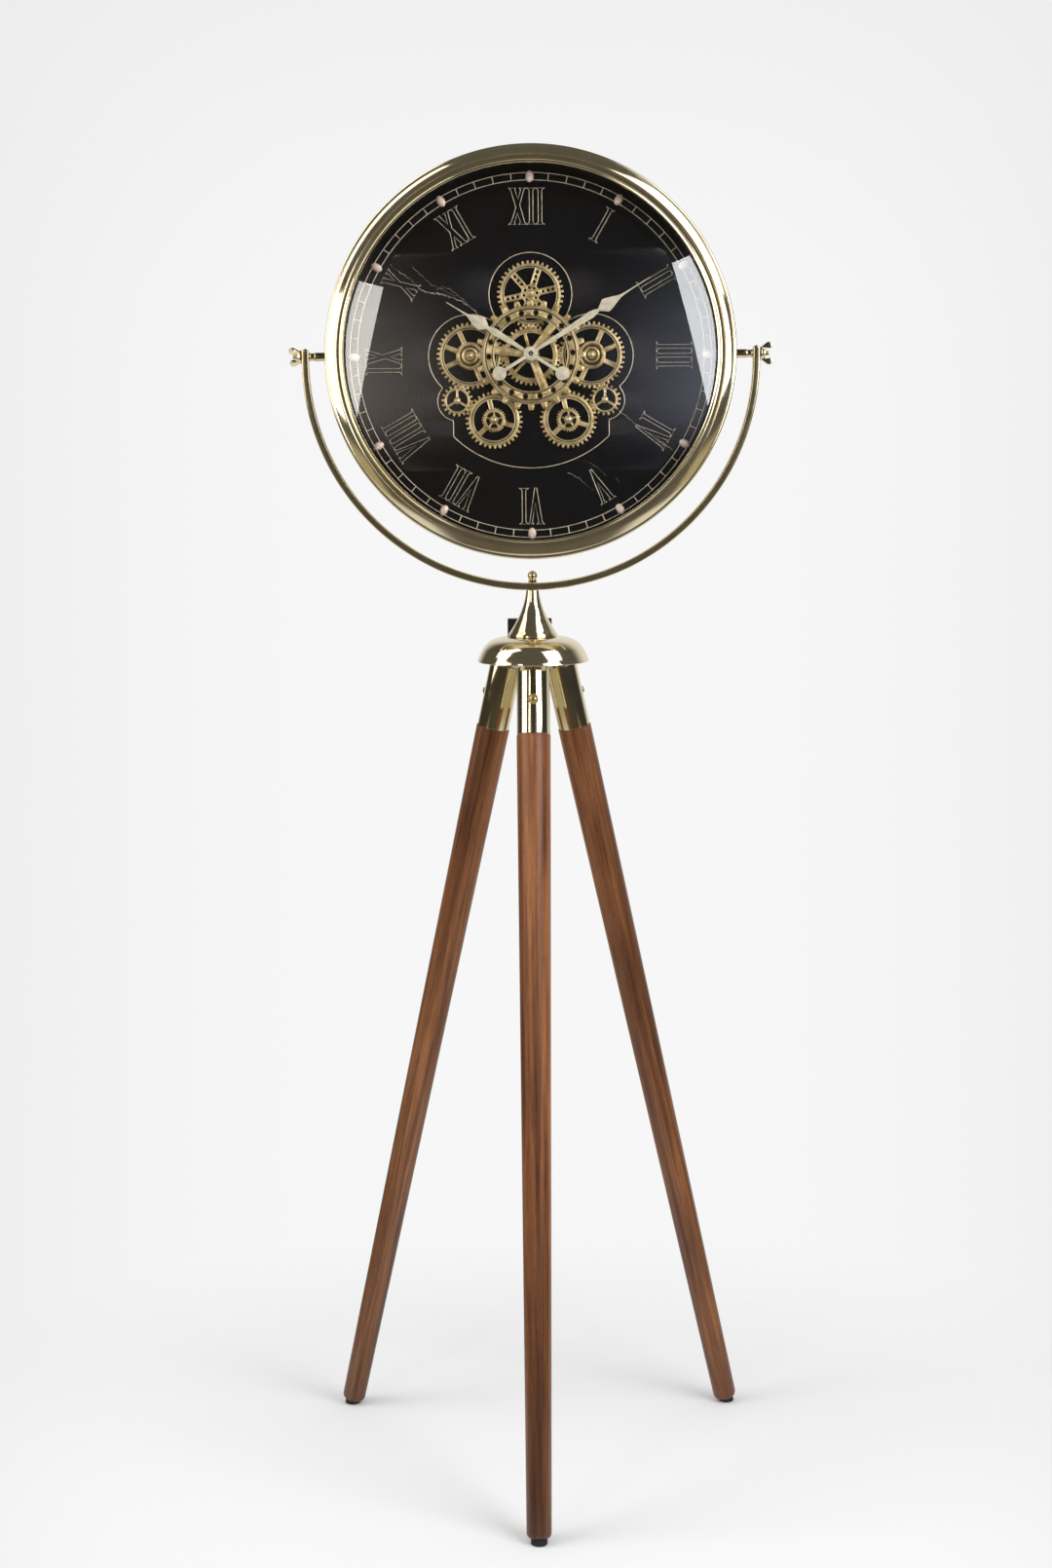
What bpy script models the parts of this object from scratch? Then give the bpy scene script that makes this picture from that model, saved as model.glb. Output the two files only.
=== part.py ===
"""Tripod floor clock: a glazed round head with an open gear train, held in a
U-shaped yoke on three splayed wooden legs.

Metres, +Z up. The floor is z = 0, the dial looks along -Y and the origin is the
centre of the footprint. Every length below is a named value; the stack of the
tripod, the yoke and the head is worked out from them, from the floor up.
"""

from math import asin, atan2, ceil, cos, hypot, pi, radians, sin, sqrt

import bmesh
import bpy
from mathutils import Matrix, Vector

# Shared fits
GAP = 0.0003
OVERRUN = 0.002
WELD = 0.00001
MERGE = 0.00005

# Smoothness of the round pieces
LARGE_STEPS = 40
BROAD_STEPS = 36
MIDDLE_STEPS = 24
LEG_STEPS = 20
KNOB_STEPS = 14
PIN_STEPS = 12
TINY_STEPS = 10
DOME_STEPS = 8
HOLE_STEPS = 6

# Tripod
SPLAY = radians(14)
LEG_REACH = 1.0338
HINGE_RADIUS = 0.0345
LEG_ANGLES = {"front": radians(-90), "left": radians(150), "right": radians(30)}
SLEEVE_LENGTH = 0.080
SLEEVE_RADIUS = 0.0195
SLEEVE_WALL = 0.0015
SLEEVE_CAP = 0.004
SLEEVE_DROP = 0.014
TONGUE_WIDTH = 0.012
TONGUE_DEPTH = 0.018
LEG_TOP_RADIUS = 0.0203
LEG_FOOT_RADIUS = 0.0146
LEG_FOOT_CHAMFER = 0.003
TENON_CLEAR = 0.014
PAD_RADIUS = 0.0098
PAD_THICKNESS = 0.0062
PIN_RADIUS = 0.003
PIN_LENGTH = 0.040

# Round head screws that hold each leg in its sleeve
SCREW_RISE = 0.0405
SCREW_RADIUS = 0.002
SCREW_LENGTH = 0.014
SCREW_HEAD_RADIUS = 0.0053
SCREW_HEAD_HEIGHT = 0.0036

# Hub, canopy and spire
HUB_MARGIN = 0.0115
HUB_BELOW = 0.010
HUB_SHOULDER = 0.013
HUB_ABOVE = 0.0195
HUB_BOSS_RADIUS = 0.016
CANOPY_OVERHANG = 0.0213
CANOPY_HEIGHT = 0.0297
CANOPY_WALL = 0.0015
SPIRE_HEIGHT = 0.0555
SPIRE_BASE_RADIUS = 0.0292
SPIRE_TOP_RADIUS = 0.0077
STUD_RADIUS = 0.004
BALL_RADIUS = 0.0059
BALL_COLLAR_RADIUS = 0.0052
BALL_COLLAR_HEIGHT = 0.0036

# Battery box of the gear motor, on the canopy behind the spire
CELL_RADIUS = 0.007
CELL_LENGTH = 0.0502
BOX_WALL = 0.0015
BOX_SLACK = 0.0003
BOX_SIDESTEP = 0.004

# Yoke and head
HEAD_TILT = radians(4.5)
YOKE_THICKNESS = 0.0085
YOKE_DEPTH = 0.014
YOKE_DROP = 0.0067
YOKE_EAR = 0.0095
YOKE_BEVEL = 0.0012
HEAD_GAP = 0.0213
BEZEL_RADIUS = 0.242
BEZEL_WIDTH = 0.0225
BEZEL_FRONT = 0.041
BEZEL_SKIRT_END = 0.012
GLASS_THICKNESS = 0.003
GLASS_RISE = 0.018
DRUM_WALL = 0.0015
BACK_CLEAR = 0.0069
SKIRT_WALL = 0.0037
DIAL_SET = 0.009
DIAL_THICKNESS = 0.002
SEAT_WIDTH = 0.008
COVER_THICKNESS = 0.0015
ACCESS_RADIUS = 0.060
PIVOT_RADIUS = 0.003
SPACER_RADIUS = 0.0052

# Wing nuts
WING_HUB_RADIUS = 0.008
WING_HUB_LENGTH = 0.0065
WING_SPAN = 0.0135
WING_OUT = 0.0145
WING_LOBE = 0.0042
WING_THICKNESS = 0.0045

# Gear train: all the meshing wheels turn in one plane
MODULE = 0.0019
DRIVE_TEETH = 36
ORBIT_TEETH = 40
IDLER_TEETH = 18
LOWER_TEETH = 34
LOWER_SHARES = (0.6122, -1.0526)
WHEEL_THICKNESS = 0.004
WHEEL_STANDOFF = 0.0035
BOSS_HEIGHT = 0.0030
COARSE_TEETH = 24
COARSE_CLEAR = 0.0028
RING_OUTER = 0.0559
RING_WIDTH = 0.0127
RING_THICKNESS = 0.003
RING_HOLES = 18
RING_HOLE_RADIUS = 0.0031
POST_RADIUS = 0.0025
NUT_RADIUS = 0.0042
GEAR_PLATE_THICKNESS = 0.003
GEAR_PLATE_MARGIN = 0.009

# Opening in the dial round the gears
WELL_CORE = 0.063
WELL_ORBIT_LOBE = 0.0490
WELL_IDLER_LOBE = 0.0230
WELL_HALF_WIDTH = 0.0923
WELL_BOTTOM = 0.132

# Hands
MINUTE_LENGTH = 0.1659
HOUR_LENGTH = 0.1165
MINUTE_ANGLE = radians(90 - 58.0)
HOUR_ANGLE = radians(90 + 58.3)
LEAF_WIDTH = 0.0160
HAND_THICKNESS = 0.0012
HAND_TAIL = 0.0436
HAND_DISC = 0.0082
HAND_ROD = 0.0040
HOUR_HAND_LIFT = 0.0037
MINUTE_HAND_LIFT = 0.0038

# Hour studs
STUD_INSET = 0.009
HOUR_STUD_WIDTH = 0.0100
HOUR_STUD_LENGTH = 0.0144
HOUR_STUD_HEIGHT = 0.003
HOURS = 12

# Quartz movement and gear motor
MOVEMENT_SIDE = 0.0026
MOVEMENT_FRONT = 0.0017
MOVEMENT_WALL = 0.0015
HEX_HEIGHT = 0.0024
BUSH_RADIUS = 0.004
TUBE_RADIUS = 0.0025
ARBOR_RADIUS = 0.0015
KNOB_RADIUS = 0.006
KNOB_HEIGHT = 0.004
MOTOR_WIDTH = 0.040
MOTOR_HEIGHT = 0.030
MOTOR_DEPTH = 0.018

# Heights and radii that follow from the sizes above
hub_radius = HINGE_RADIUS + HUB_MARGIN
canopy_radius = hub_radius + CANOPY_OVERHANG
hinge_z = LEG_REACH * cos(SPLAY)
foot_circle = HINGE_RADIUS + LEG_REACH * sin(SPLAY)
hub_top = hinge_z + HUB_ABOVE
canopy_top = hub_top + GAP + CANOPY_WALL
canopy_rim = canopy_top - CANOPY_HEIGHT
spire_foot = canopy_top + GAP
spire_top = spire_foot + SPIRE_HEIGHT
yoke_inner = BEZEL_RADIUS + HEAD_GAP
yoke_outer = yoke_inner + YOKE_THICKNESS
yoke_foot = spire_top + GAP
yoke_centre_z = yoke_foot + yoke_outer
pivot_z = yoke_centre_z + YOKE_DROP
nut_foot = yoke_foot + YOKE_THICKNESS + GAP

# Levels along the dial's normal, counted from the tilt axis towards the viewer
dial_face = -DIAL_SET
dial_back = dial_face - DIAL_THICKNESS
gear_plate_face = dial_back - GAP
gear_plate_back = gear_plate_face - GEAR_PLATE_THICKNESS
wheel_back = gear_plate_face + WHEEL_STANDOFF
wheel_face = wheel_back + WHEEL_THICKNESS
coarse_back = wheel_face + BOSS_HEIGHT + GAP
ring_back = coarse_back + RING_THICKNESS + GAP
ring_face = ring_back + RING_THICKNESS
bush_top = ring_face + HEX_HEIGHT + 2 * GAP
hour_back = bush_top + HOUR_HAND_LIFT
hour_face = hour_back + HAND_THICKNESS
minute_back = hour_face + MINUTE_HAND_LIFT
minute_face = minute_back + HAND_THICKNESS
seat_back = dial_back - GAP
drum_radius = BEZEL_RADIUS - SKIRT_WALL - GAP
lip_radius = BEZEL_RADIUS - BEZEL_WIDTH
works_back = gear_plate_back - GAP
movement_half = CELL_LENGTH / 2 + BOX_SLACK + MOVEMENT_SIDE
movement_depth = 2 * CELL_RADIUS + BOX_SLACK + MOVEMENT_FRONT
drum_back = works_back - max(MOTOR_DEPTH, movement_depth) - BACK_CLEAR
orbit = MODULE * (DRIVE_TEETH + ORBIT_TEETH) / 2
coarse_radius = orbit - NUT_RADIUS - COARSE_CLEAR
stud_circle = lip_radius - STUD_INSET


def tripod_shift():
    """How far behind the origin the tripod's axis stands, for a centred footprint."""
    reach = {}
    for name, angle in LEG_ANGLES.items():
        down_y = sin(SPLAY) * sin(angle)
        end = LEG_REACH - PAD_THICKNESS
        middle = (HINGE_RADIUS + end * sin(SPLAY)) * sin(angle)
        reach[name] = middle, LEG_FOOT_RADIUS * sqrt(1 - down_y * down_y)
    front = reach["front"][0] - reach["front"][1]
    rear = max(reach[name][0] + reach[name][1] for name in ("left", "right"))
    return -(front + rear) / 2


FINISHES = {
    "polished_brass": ((0.80, 0.66, 0.38), 0.16, 1.0),
    "antique_brass": ((0.56, 0.43, 0.22), 0.38, 1.0),
    "walnut": ((0.22, 0.09, 0.05), 0.45, 0.0),
    "rubber": ((0.02, 0.02, 0.02), 0.8, 0.0),
    "steel": ((0.55, 0.55, 0.57), 0.35, 1.0),
    "black_dial": ((0.010, 0.010, 0.016), 0.35, 0.0),
    "black_metal": ((0.012, 0.012, 0.014), 0.45, 0.2),
    "black_plastic": ((0.018, 0.018, 0.020), 0.5, 0.0),
    "glass": ((0.9, 0.95, 1.0), 0.03, 0.0),
    "cream_enamel": ((0.72, 0.65, 0.47), 0.4, 0.2),
    "pearl": ((0.80, 0.62, 0.56), 0.25, 0.0),
    "cell_jacket": ((0.10, 0.10, 0.12), 0.4, 0.3),
}


def clear_scene():
    for old in list(bpy.data.objects):
        bpy.data.objects.remove(old, do_unlink=True)


def new_collection(name):
    made = bpy.data.collections.new(name)
    bpy.context.scene.collection.children.link(made)
    return made


def finish_material(name):
    if name in bpy.data.materials:
        return bpy.data.materials[name]
    colour, roughness, metallic = FINISHES[name]
    made = bpy.data.materials.new(name)
    made.use_nodes = True
    shader = made.node_tree.nodes["Principled BSDF"]
    shader.inputs["Base Color"].default_value = (*colour, 1.0)
    shader.inputs["Roughness"].default_value = roughness
    shader.inputs["Metallic"].default_value = metallic
    if name == "glass":
        shader.inputs["Transmission Weight"].default_value = 1.0
    made.diffuse_color = (*colour, 1.0)
    return made


def own_material(node, finish):
    """Each node has its own copy of its finish."""
    made = finish_material(finish).copy()
    made.name = node
    return made


def place(obj, finish, parent, at, turn):
    """Link a piece, or a cutter where finish is None, under its parent."""
    if finish is None:
        CUTTERS.objects.link(obj)
        obj.hide_render = True
        obj.display_type = "WIRE"
    else:
        CLOCK.objects.link(obj)
        obj.data.materials.clear()
        obj.data.materials.append(own_material(obj.name, finish))
    obj.parent = parent
    obj.location = at
    obj.rotation_euler = turn
    return obj


def frame(name, parent, at, turn=(0, 0, 0)):
    made = bpy.data.objects.new(name, None)
    CLOCK.objects.link(made)
    made.parent = parent
    made.location = at
    made.rotation_euler = turn
    return made


def turned(name, finish, parent, profile, steps, at=(0, 0, 0), turn=(0, 0, 0)):
    """A turned solid: profile points (radius, height), clockwise, round local Z."""
    closed = profile[0][0] > 0
    mesh = bpy.data.meshes.new(name)
    points = [(radius, 0, height) for radius, height in profile]
    edges = [(i, i + 1) for i in range(len(points) - 1)]
    if closed:
        edges.append((len(points) - 1, 0))
    mesh.from_pydata(points, edges, [])
    obj = place(bpy.data.objects.new(name, mesh), finish, parent, at, turn)
    screw = obj.modifiers.new("Turn", "SCREW")
    screw.axis = "Z"
    screw.angle = 2 * pi
    screw.steps = steps
    screw.render_steps = steps
    screw.use_merge_vertices = True
    screw.merge_threshold = MERGE
    screw.use_smooth_shade = True
    return obj


def evaluated_mesh(obj):
    bpy.context.view_layer.update()
    graph = bpy.context.evaluated_depsgraph_get()
    return bpy.data.meshes.new_from_object(obj.evaluated_get(graph))


def flat(name, finish, parent, loops, low, high, at=(0, 0, 0), turn=(0, 0, 0)):
    """A flat plate from closed outlines in XY, holes included, between two levels."""
    curve = bpy.data.curves.new(name, "CURVE")
    curve.dimensions = "2D"
    curve.fill_mode = "BOTH"
    curve.extrude = (high - low) / 2
    for loop in loops:
        spline = curve.splines.new("POLY")
        spline.points.add(len(loop) - 1)
        for point, (x, y) in zip(spline.points, loop):
            point.co = (x, y, 0, 1)
        spline.use_cyclic_u = True
    outline = bpy.data.objects.new(name + "_outline", curve)
    CUTTERS.objects.link(outline)
    mesh = evaluated_mesh(outline)
    bpy.data.objects.remove(outline)
    bm = bmesh.new()
    bm.from_mesh(mesh)
    bmesh.ops.remove_doubles(bm, verts=bm.verts, dist=WELD)
    bmesh.ops.translate(bm, verts=bm.verts, vec=(0, 0, (low + high) / 2))
    bmesh.ops.recalc_face_normals(bm, faces=bm.faces)
    bm.to_mesh(mesh)
    bm.free()
    mesh.name = name
    return place(bpy.data.objects.new(name, mesh), finish, parent, at, turn)


def block(name, finish, parent, low, high, at=(0, 0, 0), turn=(0, 0, 0)):
    """A box between two opposite corners."""
    mesh = bpy.data.meshes.new(name)
    bm = bmesh.new()
    bmesh.ops.create_cube(bm, size=1)
    size = [b - a for a, b in zip(low, high)]
    middle = [(a + b) / 2 for a, b in zip(low, high)]
    bmesh.ops.scale(bm, verts=bm.verts, vec=size)
    bmesh.ops.translate(bm, verts=bm.verts, vec=middle)
    bm.to_mesh(mesh)
    bm.free()
    return place(bpy.data.objects.new(name, mesh), finish, parent, at, turn)


def rod(name, finish, parent, radius, low, high, steps, at=(0, 0, 0), turn=(0, 0, 0)):
    """A plain round rod along local Z between two levels."""
    profile = [(0, high), (radius, high), (radius, low), (0, low)]
    return turned(name, finish, parent, profile, steps, at, turn)


def tube(name, finish, parent, inner, outer, low, high, steps, at=(0, 0, 0), turn=(0, 0, 0)):
    profile = [(outer, high), (outer, low), (inner, low), (inner, high)]
    return turned(name, finish, parent, profile, steps, at, turn)


def combine(target, tool, operation):
    made = target.modifiers.new(operation.title(), "BOOLEAN")
    made.operation = operation
    made.solver = "EXACT"
    made.object = tool


def cut(target, tool):
    combine(target, tool, "DIFFERENCE")


def join(target, tool):
    combine(target, tool, "UNION")


def grouped(name, parent, template, placements):
    """A cutter of several alike solids, from a template that is then removed."""
    source = evaluated_mesh(template)
    bpy.data.objects.remove(template)
    bm = bmesh.new()
    for matrix in placements:
        copy = source.copy()
        copy.transform(matrix)
        bm.from_mesh(copy)
        bpy.data.meshes.remove(copy)
    mesh = bpy.data.meshes.new(name)
    bm.to_mesh(mesh)
    bm.free()
    return place(bpy.data.objects.new(name, mesh), None, parent, (0, 0, 0), (0, 0, 0))


def circle(radius, count, centre=(0, 0)):
    return [
        (centre[0] + radius * cos(2 * pi * i / count), centre[1] + radius * sin(2 * pi * i / count))
        for i in range(count)
    ]


def arc(centre, radius, start, end, count):
    angles = [start + (end - start) * i / count for i in range(count + 1)]
    return [(centre[0] + radius * cos(a), centre[1] + radius * sin(a)) for a in angles]


# Tripod legs
TENON_SLACK = 0.0003
SIDE_SLACK = 0.0004
SCREW_DOME_SHARES = ((0.30, 1.00), (0.62, 0.84), (0.86, 0.52), (1.00, 0.12), (1.00, 0.00))


def leg(name, angle, tripod, floor_block):
    """One leg: sleeve with hinge tongue, wooden shaft, screw and foot pad."""
    shoulder = SLEEVE_DROP + SLEEVE_LENGTH
    at = (HINGE_RADIUS * cos(angle), HINGE_RADIUS * sin(angle), hinge_z)
    hinge = frame("leg_hinge_" + name, tripod, at, (0, -SPLAY, angle))

    bore = SLEEVE_RADIUS - SLEEVE_WALL
    cap_under = -SLEEVE_DROP - SLEEVE_CAP
    profile = [
        (0, -SLEEVE_DROP),
        (SLEEVE_RADIUS, -SLEEVE_DROP),
        (SLEEVE_RADIUS, -shoulder),
        (bore, -shoulder),
        (bore, cap_under),
        (0, cap_under),
    ]
    sleeve = turned("leg_sleeve_" + name, "polished_brass", hinge, profile, LEG_STEPS)
    eye = TONGUE_DEPTH / 2
    root = -SLEEVE_DROP - SLEEVE_CAP / 2
    outline = arc((0, 0), eye, 0, pi, HOLE_STEPS) + [(-eye, root), (eye, root)]
    half = TONGUE_WIDTH / 2
    across = (pi / 2, 0, 0)
    join(sleeve, flat("leg_tongue_" + name, None, hinge, [outline], -half, half, turn=across))
    reach = half + OVERRUN
    wide = PIN_RADIUS + GAP
    cut(sleeve, rod("leg_eye_" + name, None, hinge, wide, -reach, reach, PIN_STEPS, turn=across))

    tenon = bore - TENON_SLACK
    end = LEG_REACH - PAD_THICKNESS
    top = cap_under - TENON_CLEAR
    chamfer = LEG_FOOT_RADIUS - LEG_FOOT_CHAMFER
    profile = [
        (0, top),
        (tenon - LEG_FOOT_CHAMFER / 2, top),
        (tenon, top - LEG_FOOT_CHAMFER),
        (tenon, -shoulder - GAP),
        (LEG_TOP_RADIUS, -shoulder - GAP),
        (LEG_FOOT_RADIUS, -end + LEG_FOOT_CHAMFER),
        (chamfer, -end),
        (0, -end),
    ]
    shaft = turned("leg_shaft_" + name, "walnut", hinge, profile, LEG_STEPS)

    screw_at = (0, 0, -shoulder + SCREW_RISE)
    seat = SLEEVE_RADIUS + GAP
    screw_end = seat - SCREW_LENGTH
    clearance = SCREW_RADIUS + GAP
    sideways = (0, pi / 2, 0)
    deep = screw_end - GAP
    out = seat + OVERRUN
    drill = rod("screw_hole_" + name, None, hinge, clearance, deep, out, TINY_STEPS, screw_at, sideways)
    cut(sleeve, drill)
    cut(shaft, drill)
    profile = [(0, seat + SCREW_HEAD_HEIGHT)]
    for wide, high in SCREW_DOME_SHARES:
        profile.append((SCREW_HEAD_RADIUS * wide, seat + SCREW_HEAD_HEIGHT * high))
    profile += [(SCREW_RADIUS, seat), (SCREW_RADIUS, screw_end), (0, screw_end)]
    turned("leg_screw_" + name, "polished_brass", hinge, profile, DOME_STEPS, screw_at, sideways)

    low = -LEG_REACH - PAD_THICKNESS
    pad = rod("foot_pad_" + name, "rubber", hinge, PAD_RADIUS, low, -end - GAP, KNOB_STEPS)
    cut(pad, floor_block)


# Hub, canopy, spire and stud
SLOT_BACK = 0.013
HUB_BEVEL = 0.0023
STUD_SINK = 0.018
BALL_RINGS = 6
BALL_SEAT_SHARE = 0.80
COLLAR_STEP_SHARE = 0.3
CANOPY_SHARES = (
    (0.450, 1.00),
    (0.690, 0.90),
    (0.830, 0.71),
    (0.920, 0.44),
    (0.970, 0.20),
    (1.000, 0.00),
)
SPIRE_SHARES = (
    (1.00, 0.00),
    (0.84, 0.06),
    (0.66, 0.19),
    (0.46, 0.39),
    (0.28, 0.64),
    (0.14, 0.85),
    (0.06, 1.00),
    (0.00, 1.00),
)


def hub_and_pins(tripod):
    """The hinge block with a slot for each leg's tongue, and the three pins."""
    hub_foot = hinge_z - HUB_BELOW
    shoulder = hinge_z + HUB_SHOULDER
    profile = [
        (0, hub_top),
        (HUB_BOSS_RADIUS, hub_top),
        (HUB_BOSS_RADIUS, shoulder),
        (hub_radius - HUB_BEVEL, shoulder),
        (hub_radius, shoulder - HUB_BEVEL),
        (hub_radius, hub_foot),
        (0, hub_foot),
    ]
    hub = turned("hub_block", "steel", tripod, profile, MIDDLE_STEPS)
    stud_hole = STUD_RADIUS + GAP
    stud_foot = hub_top - STUD_SINK
    bore = rod("hub_bore", None, tripod, stud_hole, stud_foot - GAP, hub_top + OVERRUN, PIN_STEPS)
    cut(hub, bore)
    slot_half = TONGUE_WIDTH / 2 + SIDE_SLACK
    half = PIN_LENGTH / 2
    for name, angle in LEG_ANGLES.items():
        low = (HINGE_RADIUS - SLOT_BACK, -slot_half, hub_foot - OVERRUN)
        high = (hub_radius + OVERRUN, slot_half, shoulder + OVERRUN)
        cut(hub, block("hub_slot_" + name, None, tripod, low, high, turn=(0, 0, angle)))
        at = (HINGE_RADIUS * cos(angle), HINGE_RADIUS * sin(angle), hinge_z)
        turn = (pi / 2, 0, angle)
        wide = PIN_RADIUS + GAP
        cut(hub, rod("pin_hole_" + name, None, tripod, wide, -hub_radius, hub_radius, PIN_STEPS, at, turn))
        rod("hinge_pin_" + name, "steel", tripod, PIN_RADIUS, -half, half, PIN_STEPS, at, turn)
    return stud_foot


def canopy_outline():
    """Outside of the domed cover from its flat top down to its rim."""
    return [(canopy_radius * wide, canopy_rim + CANOPY_HEIGHT * high) for wide, high in CANOPY_SHARES]


def canopy_body(tripod):
    """The solid shape of the cover, one gap larger, for what sits on it."""
    profile = [(0, canopy_top + GAP)]
    profile += [(radius + GAP, height + GAP) for radius, height in canopy_outline()]
    profile.append((0, canopy_rim + GAP))
    return turned("canopy_shape", None, tripod, profile, BROAD_STEPS)


def canopy_and_spire(tripod, stud_foot):
    """The domed cover, the concave spire and the ball headed bolt down through both."""
    bore = STUD_RADIUS + GAP
    outer = canopy_outline()
    inner = [(radius - CANOPY_WALL, height - CANOPY_WALL) for radius, height in outer[:-1]]
    inner.append((canopy_radius - CANOPY_WALL, canopy_rim))
    under = canopy_top - CANOPY_WALL
    profile = [(bore, canopy_top)] + outer + inner[::-1] + [(bore, under)]
    turned("canopy", "polished_brass", tripod, profile, BROAD_STEPS)

    flare = SPIRE_BASE_RADIUS - SPIRE_TOP_RADIUS
    profile = [(bore, spire_top)]
    for high, wide in SPIRE_SHARES:
        profile.append((SPIRE_TOP_RADIUS + flare * wide, spire_foot + SPIRE_HEIGHT * high))
    profile.append((bore, spire_foot))
    turned("spire", "polished_brass", tripod, profile, MIDDLE_STEPS)

    collar_top = nut_foot + BALL_COLLAR_HEIGHT
    ball_z = collar_top + BALL_RADIUS * BALL_SEAT_SHARE
    start = asin(BALL_SEAT_SHARE)
    profile = [(0, ball_z + BALL_RADIUS)]
    for i in range(1, BALL_RINGS + 1):
        a = pi / 2 - (pi / 2 + start) * i / BALL_RINGS
        profile.append((BALL_RADIUS * cos(a), ball_z + BALL_RADIUS * sin(a)))
    profile += [(BALL_COLLAR_RADIUS, collar_top - BALL_COLLAR_HEIGHT * COLLAR_STEP_SHARE)]
    profile += [(BALL_COLLAR_RADIUS, nut_foot), (STUD_RADIUS, nut_foot)]
    profile += [(STUD_RADIUS, stud_foot), (0, stud_foot)]
    bolt = frame("ball_bolt_axis", tripod, (0, 0, 0))
    turned("ball_bolt", "polished_brass", bolt, profile, KNOB_STEPS)


# Battery box
SADDLE_DROP = 0.006
LID_THICKNESS = 0.0017
SWITCH_WIDTH = 0.0070
SWITCH_HEIGHT = 0.0040
SWITCH_TRAVEL = 0.0034
SWITCH_PROUD = 0.0018
CELL_NIB_RADIUS = 0.0027
CELL_NIB_HEIGHT = 0.0012


def battery_box(tripod):
    """Black case of the gear motor's cell, its sliding lid and its switch."""
    half_length = CELL_LENGTH / 2 + BOX_SLACK + BOX_WALL
    depth = 2 * CELL_RADIUS + 2 * BOX_SLACK + 2 * BOX_WALL
    height = 2 * CELL_RADIUS + 2 * BOX_SLACK + BOX_WALL
    foot = canopy_top + GAP
    front = SPIRE_BASE_RADIUS + BOX_SLACK
    low = (-half_length - BOX_SIDESTEP, front, foot)
    high = (half_length - BOX_SIDESTEP, front + depth, foot + height)
    box = block("battery_box", "black_plastic", tripod, (low[0], low[1], foot - SADDLE_DROP), high)
    cut(box, canopy_body(tripod))
    hollow_low = [low[0] + BOX_WALL, low[1] + BOX_WALL, low[2] + BOX_WALL]
    hollow_high = [high[0] - BOX_WALL, high[1] - BOX_WALL, high[2] + OVERRUN]
    cut(box, block("box_hollow", None, tripod, hollow_low, hollow_high))
    switch_z = foot + height / 2
    switch_low = -BOX_SIDESTEP - SWITCH_WIDTH / 2
    window_low = (switch_low - GAP, high[1] - BOX_WALL - OVERRUN, switch_z - SWITCH_HEIGHT / 2 - GAP)
    window_high = (
        switch_low + SWITCH_WIDTH + SWITCH_TRAVEL + GAP,
        high[1] + OVERRUN,
        switch_z + SWITCH_HEIGHT / 2 + GAP,
    )
    cut(box, block("switch_window", None, tripod, window_low, window_high))
    slider_low = (switch_low, high[1] - BOX_WALL, switch_z - SWITCH_HEIGHT / 2)
    slider_high = (switch_low + SWITCH_WIDTH, high[1] + SWITCH_PROUD, switch_z + SWITCH_HEIGHT / 2)
    block("switch_slider", "steel", tripod, slider_low, slider_high)

    lid_low = (low[0], low[1], high[2] + GAP)
    lid_high = (high[0], high[1], high[2] + GAP + LID_THICKNESS)
    block("battery_lid", "black_plastic", tripod, lid_low, lid_high)

    inset = BOX_WALL + BOX_SLACK + CELL_RADIUS
    battery_cell("gear_cell", tripod, (-BOX_SIDESTEP, low[1] + inset, foot + inset))


def battery_cell(name, parent, at):
    """An AA cell lying along X."""
    end = CELL_LENGTH / 2
    shoulder = end - CELL_NIB_HEIGHT
    profile = [
        (0, end),
        (CELL_NIB_RADIUS, end),
        (CELL_NIB_RADIUS, shoulder),
        (CELL_RADIUS, shoulder),
        (CELL_RADIUS, -end),
        (0, -end),
    ]
    turned(name, "cell_jacket", parent, profile, PIN_STEPS, at, (0, pi / 2, 0))


# Yoke
YOKE_ARC_STEPS = 32
EAR_STEPS = 6
BEVEL_ANGLE = radians(40)


def yoke_bar(pan):
    """A flat bar bent to a U: a half circle with short straight ears above it."""
    centre = (0, yoke_centre_z)
    top = pivot_z + YOKE_EAR - YOKE_THICKNESS / 2
    middle = (yoke_inner + yoke_outer) / 2
    outline = arc(centre, yoke_outer, pi, 2 * pi, YOKE_ARC_STEPS)
    outline += arc((middle, top), YOKE_THICKNESS / 2, 0, pi, EAR_STEPS)
    outline += arc(centre, yoke_inner, 2 * pi, pi, YOKE_ARC_STEPS)
    outline += arc((-middle, top), YOKE_THICKNESS / 2, 0, pi, EAR_STEPS)
    half = YOKE_DEPTH / 2
    bar = flat("yoke", "polished_brass", pan, [outline], -half, half, turn=(pi / 2, 0, 0))
    edge = bar.modifiers.new("Edge", "BEVEL")
    edge.width = YOKE_BEVEL
    edge.segments = 1
    edge.limit_method = "ANGLE"
    edge.angle_limit = BEVEL_ANGLE
    low = yoke_foot - OVERRUN
    high = yoke_foot + YOKE_THICKNESS + OVERRUN
    cut(bar, rod("yoke_stud_hole", None, pan, STUD_RADIUS + GAP, low, high, PIN_STEPS))
    reach = yoke_outer + OVERRUN
    hole = PIVOT_RADIUS + GAP
    at = (0, 0, pivot_z)
    for side, start in (("right", yoke_inner - OVERRUN), ("left", -reach)):
        end = start + YOKE_THICKNESS + 2 * OVERRUN
        cut(bar, rod("yoke_hole_" + side, None, pan, hole, start, end, PIN_STEPS, at, (0, pi / 2, 0)))


# Pivots and wing nuts
STUD_HEAD_RADIUS = 0.0065
STUD_HEAD_HEIGHT = 0.004
STUD_TIP = 0.004
WING_ROOT_SHARE = 0.225
WING_NECK_SHARE = 0.75
WING_FOOT_SHARE = 0.25
WING_LOBE_STEPS = 8
WING_SPINS = {"left": radians(42), "right": radians(90)}


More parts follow.
